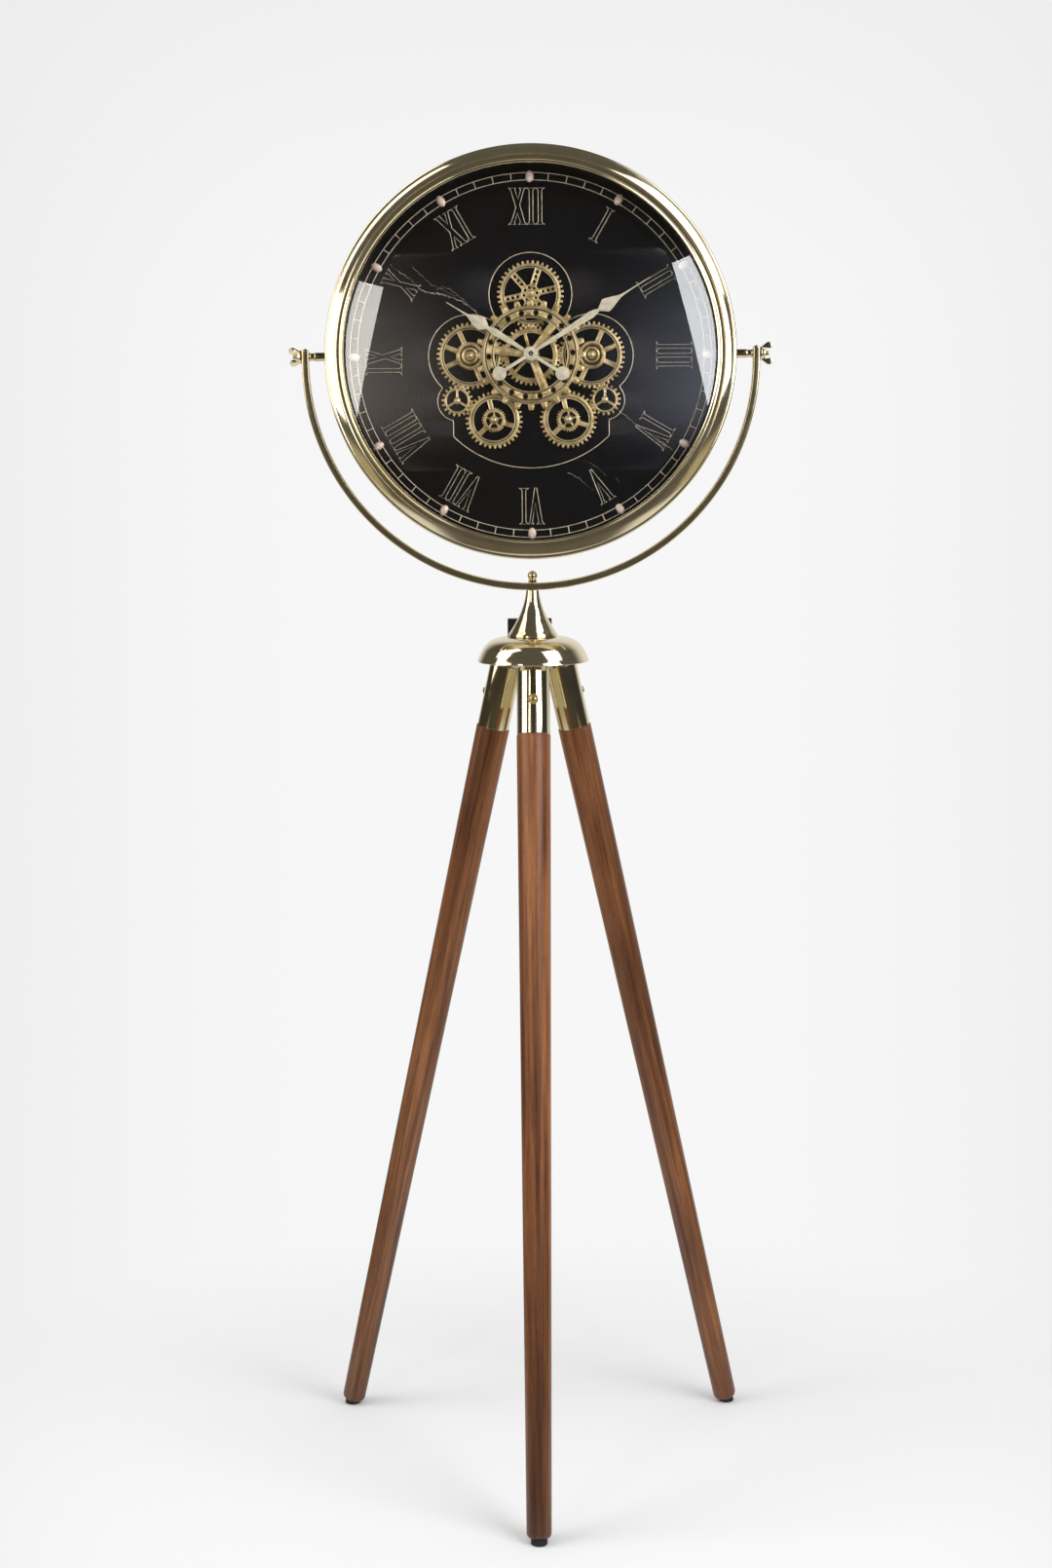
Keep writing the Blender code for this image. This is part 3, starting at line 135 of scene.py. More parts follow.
def rounded_ends(loop, radius=1.3):
    """Rounds only the sharp corners of a finely stepped outline."""
    blunt_cosine = 0.86
    made = []
    for i, point in enumerate(loop):
        here, before, after = Vector(point), Vector(loop[i - 1]), Vector(loop[(i + 1) % len(loop)])
        a, b = (here - before).normalized(), (after - here).normalized()
        if a.dot(b) > blunt_cosine:
            made.append(point)
            continue
        start = here - a * min(radius, 0.9 * (here - before).length)
        end = here + b * min(radius, 0.9 * (after - here).length)
        made += [(spot.x, spot.y) for spot in bend(start, here, end, 3)]
    return made


def smooth_line(points, count=6):
    """A curve through the points, with this many steps from one to the next."""
    made = []
    padded = [points[0]] + list(points) + [points[-1]]
    for i in range(1, len(padded) - 2):
        p0, p1, p2, p3 = (Vector(p) for p in padded[i - 1:i + 3])
        for k in range(count):
            t = k / count
            spot = 0.5 * (
                2 * p1 + (p2 - p0) * t + (2 * p0 - 5 * p1 + 4 * p2 - p3) * t ** 2
                + (3 * p1 - p0 - 3 * p2 + p3) * t ** 3
            )
            made.append((spot.x, spot.y))
    made.append(tuple(points[-1]))
    return made


# Parts of a shape, as (vertices, faces)

class Shape:
    """Vertices and faces in millimetres, in one frame, with a paint number each."""

    def __init__(self, place):
        self.place = place
        self.verts = []
        self.faces = []
        self.paints = []

    def add(self, part, paint=0, move=None):
        verts, faces = part
        matrix = self.place @ move if move is not None else self.place
        base = len(self.verts)
        self.verts += [matrix @ Vector(v) for v in verts]
        self.faces += [[base + i for i in face] for face in faces]
        self.paints += [paint] * len(faces)
        return self


def lathe(profile, steps=96, closed=True):
    """A turned body: points (radius, height) round Z. Closed joins last to first."""
    verts, faces, rings = [], [], []
    for radius, height in profile:
        count = 1 if radius < NOTHING else steps
        rings.append(list(range(len(verts), len(verts) + count)))
        verts += [(0, 0, height)] if count == 1 else lifted(circle(radius, steps), height)
    pairs = list(zip(rings, rings[1:]))
    if closed and len(rings[0]) > 1 and len(rings[-1]) > 1:
        pairs.append((rings[-1], rings[0]))
    for low, high in pairs:
        if len(low) == 1 and len(high) == 1:
            continue
        for i in range(steps):
            j = (i + 1) % steps
            if len(low) == 1:
                faces.append((low[0], high[j], high[i]))
            elif len(high) == 1:
                faces.append((low[i], low[j], high[0]))
            else:
                faces.append((low[i], low[j], high[j], high[i]))
    return verts, faces


def bead(radius, height, size, steps=96, sides=10):
    """A ring of round section, for a raised line round a turned face."""
    return lathe(circle(size, sides, (radius, height)), steps)


def oval_dome(length, width, height, rings=7, steps=24, sunk=0.4):
    """A shallow dome on an oval, its foot sunk a little below Z 0."""
    profile = [(0, height)]
    for i in range(1, rings + 1):
        a = pi / 2 * i / rings
        profile.append((sin(a), height * cos(a) ** 0.8 if i < rings else 0.0))
    verts, faces = lathe(profile + [(1.0, -sunk), (0, -sunk)], steps)
    return [(x * length / 2, y * width / 2, z) for x, y, z in verts], faces


def box(low, high):
    (a, b, c), (d, e, f) = low, high
    verts = [(x, y, z) for x in (a, d) for y in (b, e) for z in (c, f)]
    faces = [(0, 1, 3, 2), (4, 6, 7, 5), (0, 4, 5, 1), (2, 3, 7, 6), (0, 2, 6, 4), (1, 5, 7, 3)]
    return verts, faces


def plain_mesh(obj):
    """The evaluated shape of an object as (vertices, faces), the object then removed."""
    bpy.context.view_layer.update()
    graph = bpy.context.evaluated_depsgraph_get()
    mesh = bpy.data.meshes.new_from_object(obj.evaluated_get(graph))
    verts = [tuple(v.co) for v in mesh.vertices]
    faces = [tuple(p.vertices) for p in mesh.polygons]
    bpy.data.objects.remove(obj)
    bpy.data.meshes.remove(mesh)
    return verts, faces


def flat(loops, low, high, edge=0.3, rounds=1):
    """A flat plate from closed outlines, holes included, with rounded edges."""
    curve = bpy.data.curves.new("plate", "CURVE")
    curve.dimensions = "2D"
    curve.fill_mode = "BOTH"
    curve.extrude = (high - low) / 2 - edge
    curve.bevel_depth = edge
    curve.bevel_resolution = rounds
    curve.offset = -edge
    for loop in loops:
        spline = curve.splines.new("POLY")
        spline.points.add(len(loop) - 1)
        for point, (x, y) in zip(spline.points, loop):
            point.co = (x, y, 0, 1)
        spline.use_cyclic_u = True
    obj = bpy.data.objects.new("plate", curve)
    SCENE.objects.link(obj)
    verts, faces = plain_mesh(obj)
    middle = (low + high) / 2
    return [(x, y, z + middle) for x, y, z in verts], faces


# Node trees

class Tree:
    """A node tree in the making. A node is added with its inputs, by name or number:
    a socket is linked and a value is stored."""

    def __init__(self, tree):
        self.tree = tree

    def feed(self, node, key, value):
        port = node.inputs[key]
        if isinstance(key, str):
            port = next(s for s in node.inputs if s.name == key and s.enabled)
        if isinstance(value, bpy.types.NodeSocket):
            self.tree.links.new(value, port)
        else:
            port.default_value = (*value, 1.0) if port.type == "RGBA" else value

    def add(self, kind, inputs=None, **settings):
        made = self.tree.nodes.new(kind)
        for name, value in settings.items():
            setattr(made, name, value)
        for key, value in (inputs or {}).items():
            self.feed(made, key, value)
        return made

    def flow(self, kind, inputs=None, **settings):
        """The first output of a new node."""
        return next(s for s in self.add(kind, inputs, **settings).outputs if s.enabled)

    def math(self, operation, *values):
        return self.flow("ShaderNodeMath", dict(enumerate(values)), operation=operation)

    def mixed(self, factor, a, b, blend="MIX"):
        inputs = {"Factor": factor, "A": a, "B": b}
        return self.flow("ShaderNodeMix", inputs, data_type="RGBA", blend_type=blend)

    def smooth_step(self, value, low, high):
        inputs = {"Value": value, "From Min": low, "From Max": high}
        return self.flow("ShaderNodeMapRange", inputs, interpolation_type="SMOOTHSTEP")


class Growth(Tree):
    """A geometry tree with named inputs for the sizes of what it makes."""

    def __init__(self, name, **kinds):
        super().__init__(bpy.data.node_groups.new(name, "GeometryNodeTree"))
        self.names = {}
        sockets = self.tree.interface
        for key, kind in {"Geometry": "Geometry", **kinds}.items():
            made = sockets.new_socket(key, in_out="INPUT", socket_type="NodeSocket" + kind)
            self.names[key] = made.identifier
        sockets.new_socket("Geometry", in_out="OUTPUT", socket_type="NodeSocketGeometry")
        self.given = self.add("NodeGroupInput").outputs

    def end(self, geometry):
        """Ends in plain painted mesh, because the export drops instances."""
        real = self.flow("GeometryNodeRealizeInstances", {0: geometry})
        inputs = {"Geometry": real, "Material": self.given["Material"]}
        self.add("NodeGroupOutput", {0: self.flow("GeometryNodeSetMaterial", inputs)})

    def grown(self, verts, edges, faces, **values):
        """The plain mesh that the tree makes from a seed mesh."""
        mesh = bpy.data.meshes.new("seed")
        mesh.from_pydata(verts, edges, faces)
        obj = bpy.data.objects.new("seed", mesh)
        SCENE.objects.link(obj)
        modifier = obj.modifiers.new("Grow", "NODES")
        modifier.node_group = self.tree
        for key, value in values.items():
            modifier[self.names[key]] = value
        return plain_mesh(obj)


def copies_tree():
    """Copies of the incoming mesh, spread evenly round Z at one radius."""
    tree = Growth(
        "copies_round_a_circle", Count="Int", Radius="Float", Start="Float", Material="Material",
    )
    given = tree.given
    step = tree.math("DIVIDE", 2 * pi, given["Count"])
    angle = tree.math("MULTIPLY_ADD", tree.flow("GeometryNodeInputIndex"), step, given["Start"])
    waves = (tree.math(wave, angle) for wave in ("COSINE", "SINE"))
    x, y = (tree.math("MULTIPLY", wave, given["Radius"]) for wave in waves)
    place = tree.flow("ShaderNodeCombineXYZ", {"X": x, "Y": y})
    tree.end(tree.flow("GeometryNodeInstanceOnPoints", {
        "Points": tree.flow("GeometryNodePoints", {"Count": given["Count"], "Position": place}),
        "Instance": given["Geometry"],
        "Rotation": tree.flow("ShaderNodeCombineXYZ", {"Z": angle}),
    }))
    return tree


def wire_tree():
    """Round wire along the edges of the incoming mesh."""
    tree = Growth("wire_along_edges", Radius="Float", Sides="Int", Material="Material")
    given = tree.given
    section = {"Resolution": given["Sides"], "Radius": given["Radius"]}
    tree.end(tree.flow("GeometryNodeCurveToMesh", {
        "Curve": tree.flow("GeometryNodeMeshToCurve", {"Mesh": given["Geometry"]}),
        "Profile Curve": tree.flow("GeometryNodeCurvePrimitiveCircle", section),
        "Fill Caps": True,
    }))
    return tree


COPIES = copies_tree()
WIRE = wire_tree()


def round_copies(part, count, radius, start, paint):
    verts, faces = part
    return COPIES.grown(
        verts, [], faces, Count=count, Radius=float(radius), Start=float(start), Material=paint,
    )


def wires(lines, radius, paint, sides=8, closed=True):
    """Wire along several lines of points (x, y, z)."""
    verts, edges = [], []
    for line in lines:
        base = len(verts)
        verts += line
        edges += [(base + i, base + i + 1) for i in range(len(line) - 1)]
        if closed:
            edges.append((base + len(line) - 1, base))
    return WIRE.grown(verts, edges, [], Radius=float(radius), Sides=sides, Material=paint)


# Materials

def shade(colour, share):
    return tuple(c * share for c in colour)


class Paint(Tree):
    """One procedural material: a Principled shader fed by textures in object space."""

    def __init__(self, name, **values):
        self.mat = bpy.data.materials.new(name)
        self.mat.use_nodes = True
        super().__init__(self.mat.node_tree)
        self.shader = self.tree.nodes["Principled BSDF"]
        self.space = self.add("ShaderNodeTexCoord").outputs["Object"]
        for key, value in values.items():
            self.feed(self.shader, key.replace("_", " "), value)

    def stretched(self, scale, location, rotation):
        """Object space moved into a frame and then scaled along its axes."""
        inputs = {"Location": location, "Rotation": rotation, "Vector": self.space}
        own = self.flow("ShaderNodeMapping", inputs, vector_type="TEXTURE")
        return self.flow("ShaderNodeMapping", {"Scale": scale, "Vector": own}, vector_type="POINT")

    def noise(self, scale, detail=3.0, rough=0.5, vector=None, twist=0.0):
        return self.flow("ShaderNodeTexNoise", {
            "Scale": scale, "Detail": detail, "Roughness": rough, "Distortion": twist,
            "Vector": vector or self.space,
        })

    def ramp(self, factor, stops):
        made = self.add("ShaderNodeValToRGB", {0: factor})
        band = made.color_ramp
        while len(band.elements) < len(stops):
            band.elements.new(0.5)
        for element, (place, colour) in zip(band.elements, stops):
            element.position = place
            element.color = (*colour, 1.0)
        return made.outputs[0]

    def span(self, factor, low, high, start=0.3, end=0.7):
        return self.flow("ShaderNodeMapRange", {
            "Value": factor, "From Min": start, "From Max": end, "To Min": low, "To Max": high,
        })

    def colour(self, factor, stops):
        self.feed(self.shader, "Base Color", self.ramp(factor, stops))

    def rough(self, factor, low, high, start=0.3, end=0.7):
        self.feed(self.shader, "Roughness", self.span(factor, low, high, start, end))

    def bump(self, height, strength, distance):
        """Relief, on top of what the shader already has."""
        inputs = {"Strength": strength, "Distance": distance, "Height": height}
        before = self.shader.inputs["Normal"].links
        if before:
            inputs["Normal"] = before[0].from_socket
        self.feed(self.shader, "Normal", self.flow("ShaderNodeBump", inputs))


def polished(name, low, high, rough_low, rough_high, wave=0.02, metal=1.0):
    """Lacquered brass, its mirror slightly uneven and hazed in places."""
    p = Paint(name, Metallic=metal)
    p.colour(p.noise(23, 4), ((0.35, low), (0.65, high)))
    p.rough(p.noise(60, 5, 0.6), rough_low, rough_high, 0.35, 0.7)
    p.bump(p.noise(30, 2), wave, 0.002)
    return p.mat


def antique(name, tint=1.0):
    """Cast brass with a brown patina in its hollows and rubbed bright on top."""
    p = Paint(name, Metallic=1.0)
    p.colour(p.noise(90, 6, 0.6), (
        (0.30, shade((0.240, 0.145, 0.050), tint)),
        (0.46, shade((0.590, 0.420, 0.185), tint)),
        (0.66, shade((0.920, 0.725, 0.400), tint)),
    ))
    p.rough(p.noise(220, 4), 0.34, 0.46)
    p.bump(p.noise(160, 4, 0.55), 0.10, 0.0006)
    p.bump(p.noise(1200, 3), 0.05, 0.0002)
    return p.mat


def walnut(name, angle, leg_tone_and_light, foot, head):
    """Straight grained walnut under a satin lacquer, its grain along one leg. Three shares scale
    its colour:
    the leg's tone, which also paints how much light that leg gets, then painted shade at the foot
    and painted light at the head, blended by height."""
    p = Paint(name, Coat_Weight=0.24, Coat_Roughness=0.22, Specular_IOR_Level=0.3)
    place = leg_frame(angle)
    at, way = place.to_translation() * MM, place.to_euler("XYZ")

    def grain(across, along, detail, rough, twist=0.0):
        return p.noise(1.0, detail, rough, p.stretched((across, across, along), at, way), twist)

    pores = grain(1500, 70, 2, 0.5)
    fine = grain(900, 16, 4, 0.7)
    tone = p.ramp(grain(42, 2.2, 4, 0.55, 0.6), (
        (0.28, shade((0.090, 0.029, 0.009), leg_tone_and_light)),
        (0.46, shade((0.195, 0.070, 0.022), leg_tone_and_light)),
        (0.60, shade((0.290, 0.114, 0.038), leg_tone_and_light)),
        (0.74, shade((0.410, 0.182, 0.070), leg_tone_and_light)),
    ))
    height = p.add("ShaderNodeSeparateXYZ", {0: p.space}).outputs["Z"]
    streaks = ((0.34, (0.52, 0.46, 0.42)), (0.52, (1.0, 1.0, 1.0)), (0.70, (1.22, 1.20, 1.16)))
    fibres = ((0.32, (0.74, 0.71, 0.69)), (0.62, (1.12, 1.12, 1.12)))
    dots = ((0.30, (0.45, 0.40, 0.38)), (0.38, (1.0, 1.0, 1.0)))
    mottle = ((0.35, (0.86, 0.84, 0.84)), (0.68, (1.10, 1.09, 1.10)))
    # Painted shade and light by height: the foot share near the floor, the head share up by the
    # sleeves
    light_falloff = ((0.0, (foot,) * 3), (0.45, (1.0,) * 3), (0.85, (head,) * 3))
    for factor, stops in (
        (grain(150, 5.0, 5, 0.6, 0.4), streaks), (fine, fibres), (pores, dots),
        (grain(14, 6, 3, 0.5), mottle), (height, light_falloff),
    ):
        tone = p.mixed(1.0, tone, p.ramp(factor, stops), "MULTIPLY")
    p.feed(p.shader, "Base Color", tone)
    p.rough(fine, 0.36, 0.52)
    p.bump(pores, 0.10, 0.0002)
    p.bump(fine, 0.10, 0.0002)
    return p.mat


def lacquer(name, low, high, rough, coat, coat_rough, grain):
    """Dark paint, with a faint orange-peel surface where it has grain."""
    p = Paint(name, Coat_Weight=coat, Coat_Roughness=coat_rough)
    p.colour(p.noise(14, 5, 0.6), ((0.3, low), (0.7, high)))
    p.rough(p.noise(24, 1), rough * 0.92, rough * 1.1)
    if grain:
        p.bump(p.noise(700, 2), grain, 0.0001)
    return p.mat


def moulded(name, tone, rough, grain=0.12):
    """Moulded plastic or rubber with a fine matt texture and faint scuffs."""
    p = Paint(name)
    scuffs = p.noise(45, 6, 0.7)
    pale = tuple(c + 0.004 for c in shade(tone, 1.5))
    p.colour(scuffs, ((0.35, shade(tone, 0.8)), (0.75, pale)))
    p.rough(scuffs, rough * 0.9, min(1.0, rough * 1.15))
    p.bump(p.noise(1600, 3), grain, 0.0002)
    return p.mat


def steel(name):
    """Bright plated steel."""
    p = Paint(name, Metallic=1.0)
    p.colour(p.noise(60, 4), ((0.3, (0.42, 0.42, 0.43)), (0.7, (0.62, 0.61, 0.60))))
    p.rough(p.noise(500, 3), 0.24, 0.40)
    p.bump(p.noise(900, 3), 0.05, 0.0001)
    return p.mat


def enamel(name):
    """Cream enamel of the hands, slightly uneven."""
    p = Paint(name, Coat_Weight=0.35, Coat_Roughness=0.22, Metallic=0.15)
    p.colour(p.noise(160, 4), ((0.30, (0.50, 0.425, 0.285)), (0.70, (0.66, 0.585, 0.425))))
    p.rough(p.noise(400, 3), 0.32, 0.48)
    p.bump(p.noise(900, 3), 0.05, 0.0001)
    return p.mat


def pearl(name):
    """Pale pink pearl with warmer clouds."""
    p = Paint(
        name, Coat_Weight=1.0, Coat_Roughness=0.08, Subsurface_Weight=0.15, Subsurface_Scale=0.002,
    )
    p.colour(p.noise(260, 3, 0.5, None, 0.8), (
        (0.30, (0.80, 0.42, 0.30)),
        (0.50, (0.92, 0.66, 0.55)),
        (0.70, (0.98, 0.88, 0.80)),
    ))
    p.rough(p.noise(500, 3), 0.18, 0.3)
    return p.mat


def gilt(name, tone, metal, rough):
    """Thin gold line work, worn darker here and there."""
    p = Paint(name, Metallic=metal)
    p.colour(p.noise(180, 5, 0.6), ((0.32, shade(tone, 0.55)), (0.55, tone)))
    p.rough(p.noise(420, 3), rough * 0.85, rough * 1.25)
    p.bump(p.noise(1200, 3), 0.1, 0.0001)
    return p.mat


def marble_vein(name):
    """A pale vein that breaks off into the black again and again."""
    p = Paint(name, Roughness=0.4)
    broken = p.noise(95, 6, 0.7)
    p.colour(broken, (
        (0.36, (0.015, 0.015, 0.016)),
        (0.48, (0.170, 0.150, 0.130)),
        (0.62, (0.620, 0.560, 0.480)),
    ))
    p.bump(broken, 0.2, 0.0003)
    return p.mat


def clear_glass(name):
    """Clear glass that lets the lamps' light through to the dial."""
    p = Paint(
        name, Base_Color=(0.985, 0.992, 1.0), Transmission_Weight=1.0, Roughness=0.0, IOR=1.7,
    )
    both = p.flow("ShaderNodeMixShader", {
        0: p.add("ShaderNodeLightPath").outputs["Is Shadow Ray"],
        1: p.shader.outputs[0],
        2: p.flow("ShaderNodeBsdfTransparent", {"Color": (0.95, 0.96, 0.97)}),
    })
    p.feed(p.tree.nodes["Material Output"], "Surface", both)
    return p.mat


BRASS_LOW, BRASS_HIGH = (0.78, 0.67, 0.44), (0.86, 0.77, 0.55)
BRASS = polished("polished_brass", BRASS_LOW, BRASS_HIGH, 0.06, 0.12)
SOFT_BRASS = polished("spun_brass", BRASS_LOW, BRASS_HIGH, 0.06, 0.12, metal=0.94)
YOKE_BRASS = polished("yoke_brass", (0.74, 0.63, 0.40), (0.82, 0.72, 0.49), 0.12, 0.20, metal=0.96)
BRIGHT_BRASS = polished("rubbed_brass", (0.68, 0.54, 0.30), (0.94, 0.80, 0.50), 0.30, 0.42, 0.1)
GEAR_BRASS = antique("antique_brass")
# Dark brass: patina on the eyelets, and painted shade in the screw slots
DARK_BRASS = antique("patinated_brass", 0.4)
# Near-black brass for painted shade: dark lines and sheets where grooves, recesses and openings are
# shaded
PAINTED_SHADE_BRASS = antique("blackened_brass", 0.05)
DIAL_BLACK = lacquer(
    "dial_black", (0.0018, 0.0018, 0.0027), (0.0034, 0.0032, 0.0048), 0.09, 0.0, 0.05, 0.0,
)
COVER_BLACK = lacquer(
    "cover_black", (0.009, 0.009, 0.010), (0.016, 0.016, 0.017), 0.42, 0.2, 0.3, 0.12,
)
PLASTIC = moulded("black_plastic", (0.015, 0.015, 0.017), 0.45)
RUBBER = moulded("black_rubber", (0.014, 0.014, 0.014), 0.78, 0.3)
JACKET = moulded("cell_jacket", (0.08, 0.08, 0.10), 0.35, 0.02)
STEEL = steel("bright_steel")
CREAM = enamel("cream_enamel")
PEARL = pearl("pink_pearl")
GOLD_LINE = gilt("gold_line", (0.74, 0.64, 0.46), 0.7, 0.30)
TRACK_LINE = gilt("track_line", (0.84, 0.70, 0.50), 0.3, 0.38)
VEIN = marble_vein("marble_vein")
GLASS = clear_glass("dome_glass_clear")
# Per leg: its tone, which also paints how much light that leg gets, then the painted shade at its
# foot and the painted light at its head
LEG_TONE_AND_LIGHT = {"front": (1.15, 0.50, 1.15), "left": (0.86, 0.62, 1.0), "right": (0.92, 0.95, 1.0)}
WALNUT = {
    name: walnut("walnut_" + name, angle, *LEG_TONE_AND_LIGHT[name]) for name, angle in LEG_ANGLES.items()
}


# Pieces

DOUBLES_REACH = 0.0005
WELD_REACH = 0.00001
SOFT_ANGLE = 40


def piece(name, shape, paints, body, node=None, angle=32):
    """A finished piece: one mesh on its body, standing for a CAD node where it has one."""
    mesh = bpy.data.meshes.new(name)
    mesh.from_pydata(shape.verts, [], shape.faces)
    for paint in paints:
        mesh.materials.append(paint)
    mesh.polygons.foreach_set("material_index", shape.paints)
    bm = bmesh.new()
    bm.from_mesh(mesh)
    bmesh.ops.remove_doubles(bm, verts=bm.verts, dist=DOUBLES_REACH)
    bmesh.ops.recalc_face_normals(bm, faces=bm.faces)
    bmesh.ops.transform(bm, matrix=TO_METRES, verts=bm.verts)
    bm.to_mesh(mesh)
    bm.free()
    mesh.shade_smooth()
    mesh.set_sharp_from_angle(angle=radians(angle))
    obj = bpy.data.objects.new(name, mesh)
    SCENE.objects.link(obj)
    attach(obj, body)
    if node:
        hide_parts(node)


def softened(node, body, paint, width):
    """A CAD node's own shape with its edges rounded, the width in metres."""
    obj = bpy.data.objects.new("soft", nodes[node].data.copy())
    obj.data.materials.clear()
    SCENE.objects.link(obj)
    weld = obj.modifiers.new("Weld", "WELD")
    weld.merge_threshold = WELD_REACH
    edge = obj.modifiers.new("Edge", "BEVEL")
    edge.width = width
    edge.segments = 3
    edge.limit_method = "ANGLE"
    edge.angle_limit = radians(SOFT_ANGLE)
    verts, faces = plain_mesh(obj)
    shape = Shape(Matrix())
    shape.add(([(x / MM, y / MM, z / MM) for x, y, z in verts], faces))
    piece(node + "_finish", shape, [paint], body, node, angle=SOFT_ANGLE)


# Bezel, drum and glass
BEZEL_PROFILE = (
    (219.5, 34.7), (219.5, 38.9), (219.65, 39.3), (219.95, 39.55), (220.3, 39.55), (221.8, 38.85),
    (223.1, 38.1), (223.4, 37.8), (223.55, 37.2), (223.65, 36.7), (223.75, 36.5), (224.0, 36.4),
    (228.5, 36.4), (228.7, 36.5), (228.8, 36.8), (228.9, 38.0), (228.95, 40.3), (229.05, 40.75),
    (229.25, 40.98), (229.5, 41.0), (229.8, 40.9), (232.2, 39.85), (234.2, 38.9), (236.0, 37.95),
    (237.6, 37.0), (238.0, 36.7), (238.2, 36.3), (238.5, 36.15), (238.9, 36.4), (239.5, 36.5),
    (240.6, 36.2), (241.4, 35.7), (241.8, 35.2), (242.0, 34.4), (242.0, 13.2), (241.7, 12.3),
    (241.0, 12.0), (238.9, 12.0), (238.3, 12.6), (238.3, 34.7),
)
bezel = Shape(HEAD).add(lathe(BEZEL_PROFILE, 320))
piece("bezel_turned", bezel, [SOFT_BRASS], "head", "bezel")

DRUM_PROFILE = (
    (238.0, 29.6), (238.0, -33.4), (238.6, -34.0), (238.6, -36.4), (238.0, -37.0), (238.0, -39.5),
    (226.0, -39.5), (226.0, -38.0), (236.5, -38.0), (236.5, -12.8), (228.5, -12.8), (228.5, -11.3),
    (236.5, -11.3), (236.5, 29.6),
)
drum = Shape(HEAD).add(lathe(fillet(DRUM_PROFILE, 0.6), 288))
piece("case_drum_turned", drum, [BRASS], "head", "case_drum")

DOME_RADIUS, DOME_RISE, DOME_STEPS = 219.2, 18.0, 40
GLASS_RADIUS, GLASS_BACK, GLASS_FRONT = 236.2, 31.4, 34.4
SPHERE = (DOME_RADIUS ** 2 + DOME_RISE ** 2) / (2 * DOME_RISE)
dome = []
for i in range(DOME_STEPS + 1):
    radius = DOME_RADIUS * sin(pi / 2 * i / DOME_STEPS)
    dome.append((radius, sqrt(SPHERE ** 2 - radius * radius) - SPHERE + DOME_RISE))
glass_profile = [(r, GLASS_FRONT + h) for r, h in dome]
glass_profile += [(GLASS_RADIUS, GLASS_FRONT), (GLASS_RADIUS, GLASS_BACK)]
glass_profile += [(r, GLASS_BACK + h) for r, h in reversed(dome)]
glass = Shape(HEAD).add(lathe(glass_profile, 192, closed=False))
piece("dome_glass_clear", glass, [GLASS], "head", "dome_glass", angle=20)


# Dial plate with its opening round the gears
DIAL_RADIUS, DIAL_BACK, DIAL_FACE = 236.2, -11.0, -9.0
LINE_LEVEL = -8.85
ORBIT = 72.2
IDLERS = {"left": (-87.832, -52.836), "right": (87.832, -52.836)}
LOWERS = {"left": (-44.2008, -75.998), "right": (44.2008, -75.998)}
WELL_RADIUS, LOBE_RADIUS, IDLER_LOBE_RADIUS = 63.0, 49.0, 23.0
WELL_HALF_WIDTH, WELL_DROP, WELL_BOTTOM_RADIUS = 92.3, 75.836, 132.0


def lobe_reach(angle, centre, radius):
    """How far a lobe reaches from the dial's centre at one angle."""
    distance = hypot(*centre)
    off = angle - atan2(centre[1], centre[0])
    side = distance * sin(off)
    if cos(off) <= 0 or abs(side) >= radius:
        return 0
    return distance * cos(off) + sqrt(radius * radius - side * side)


def well_outline(count):
    """A round middle with lobes for the wheels, and a broad round bottom."""
    lobes = [(centre, LOBE_RADIUS) for centre in ((ORBIT, 0), (0, ORBIT), (-ORBIT, 0))]
    lobes += [(centre, IDLER_LOBE_RADIUS) for centre in IDLERS.values()]
    shoulder = atan2(WELL_DROP, WELL_HALF_WIDTH)
    points = []
    for angle in spread(count):
        reach = max([WELL_RADIUS] + [lobe_reach(angle, *lobe) for lobe in lobes])
        if -sin(angle) > sin(shoulder):
            side_reach = WELL_HALF_WIDTH / max(abs(cos(angle)), 0.01)
            reach = max(reach, min(WELL_BOTTOM_RADIUS, side_reach))
        points.append(polar(reach, angle))
    return points


WELL = well_outline(720)
dial = Shape(HEAD)
dial.add(flat([circle(DIAL_RADIUS, 256), WELL], DIAL_BACK, DIAL_FACE, 0.2))
border = [(x * 1.004, y * 1.004, LINE_LEVEL) for x, y in WELL[::2]]
dial.add(wires([border], 0.46, TRACK_LINE), 1)
piece("dial_plate_lacquered", dial, [DIAL_BLACK, TRACK_LINE], "head", "dial_plate")

# Minute track and hour studs on their ring
TRACK_INNER, TRACK_OUTER, TRACK_BACK, TRACK_FACE = 202.7, 218.3, -8.7, -8.2
TRACK_LINES, TRACK_LINE_LEVEL = (215.0, 206.4), -8.15
TICK_HALF_LENGTH, TICK_RADIUS, STUD_RADIUS = 4.3, 210.7, 210.5
track = Shape(HEAD)
track_profile = [
    (TRACK_INNER, TRACK_BACK), (TRACK_OUTER, TRACK_BACK), (TRACK_OUTER, TRACK_FACE),
    (TRACK_INNER, TRACK_FACE),
]
track.add(lathe(fillet(track_profile, 0.12, steps=2), 256))
rings = [lifted(circle(radius, 360), TRACK_LINE_LEVEL) for radius in TRACK_LINES]
track.add(wires(rings, 0.48, TRACK_LINE), 1)
tick_line = [(-TICK_HALF_LENGTH, 0, 0), (TICK_HALF_LENGTH, 0, 0)]
tick = wires([tick_line], 0.55, TRACK_LINE, closed=False)
track.add(round_copies(tick, 60, TICK_RADIUS, 0.0, TRACK_LINE), 1, shift(0, 0, TRACK_LINE_LEVEL))
stud = oval_dome(12.9, 8.5, 3.0)
track.add(round_copies(stud, 12, STUD_RADIUS, 0.0, PEARL), 2, shift(0, 0, TRACK_FACE))
oval = [(6.6 * cos(a), 4.4 * sin(a), 0) for a in spread(32)]
rim = wires([oval], 0.4, GOLD_LINE)
track.add(round_copies(rim, 12, STUD_RADIUS, 0.0, GOLD_LINE), 3, shift(0, 0, TRACK_FACE + 0.1))
piece("hour_studs_set", track, [DIAL_BLACK, TRACK_LINE, PEARL, GOLD_LINE], "head", "chapter_ring")

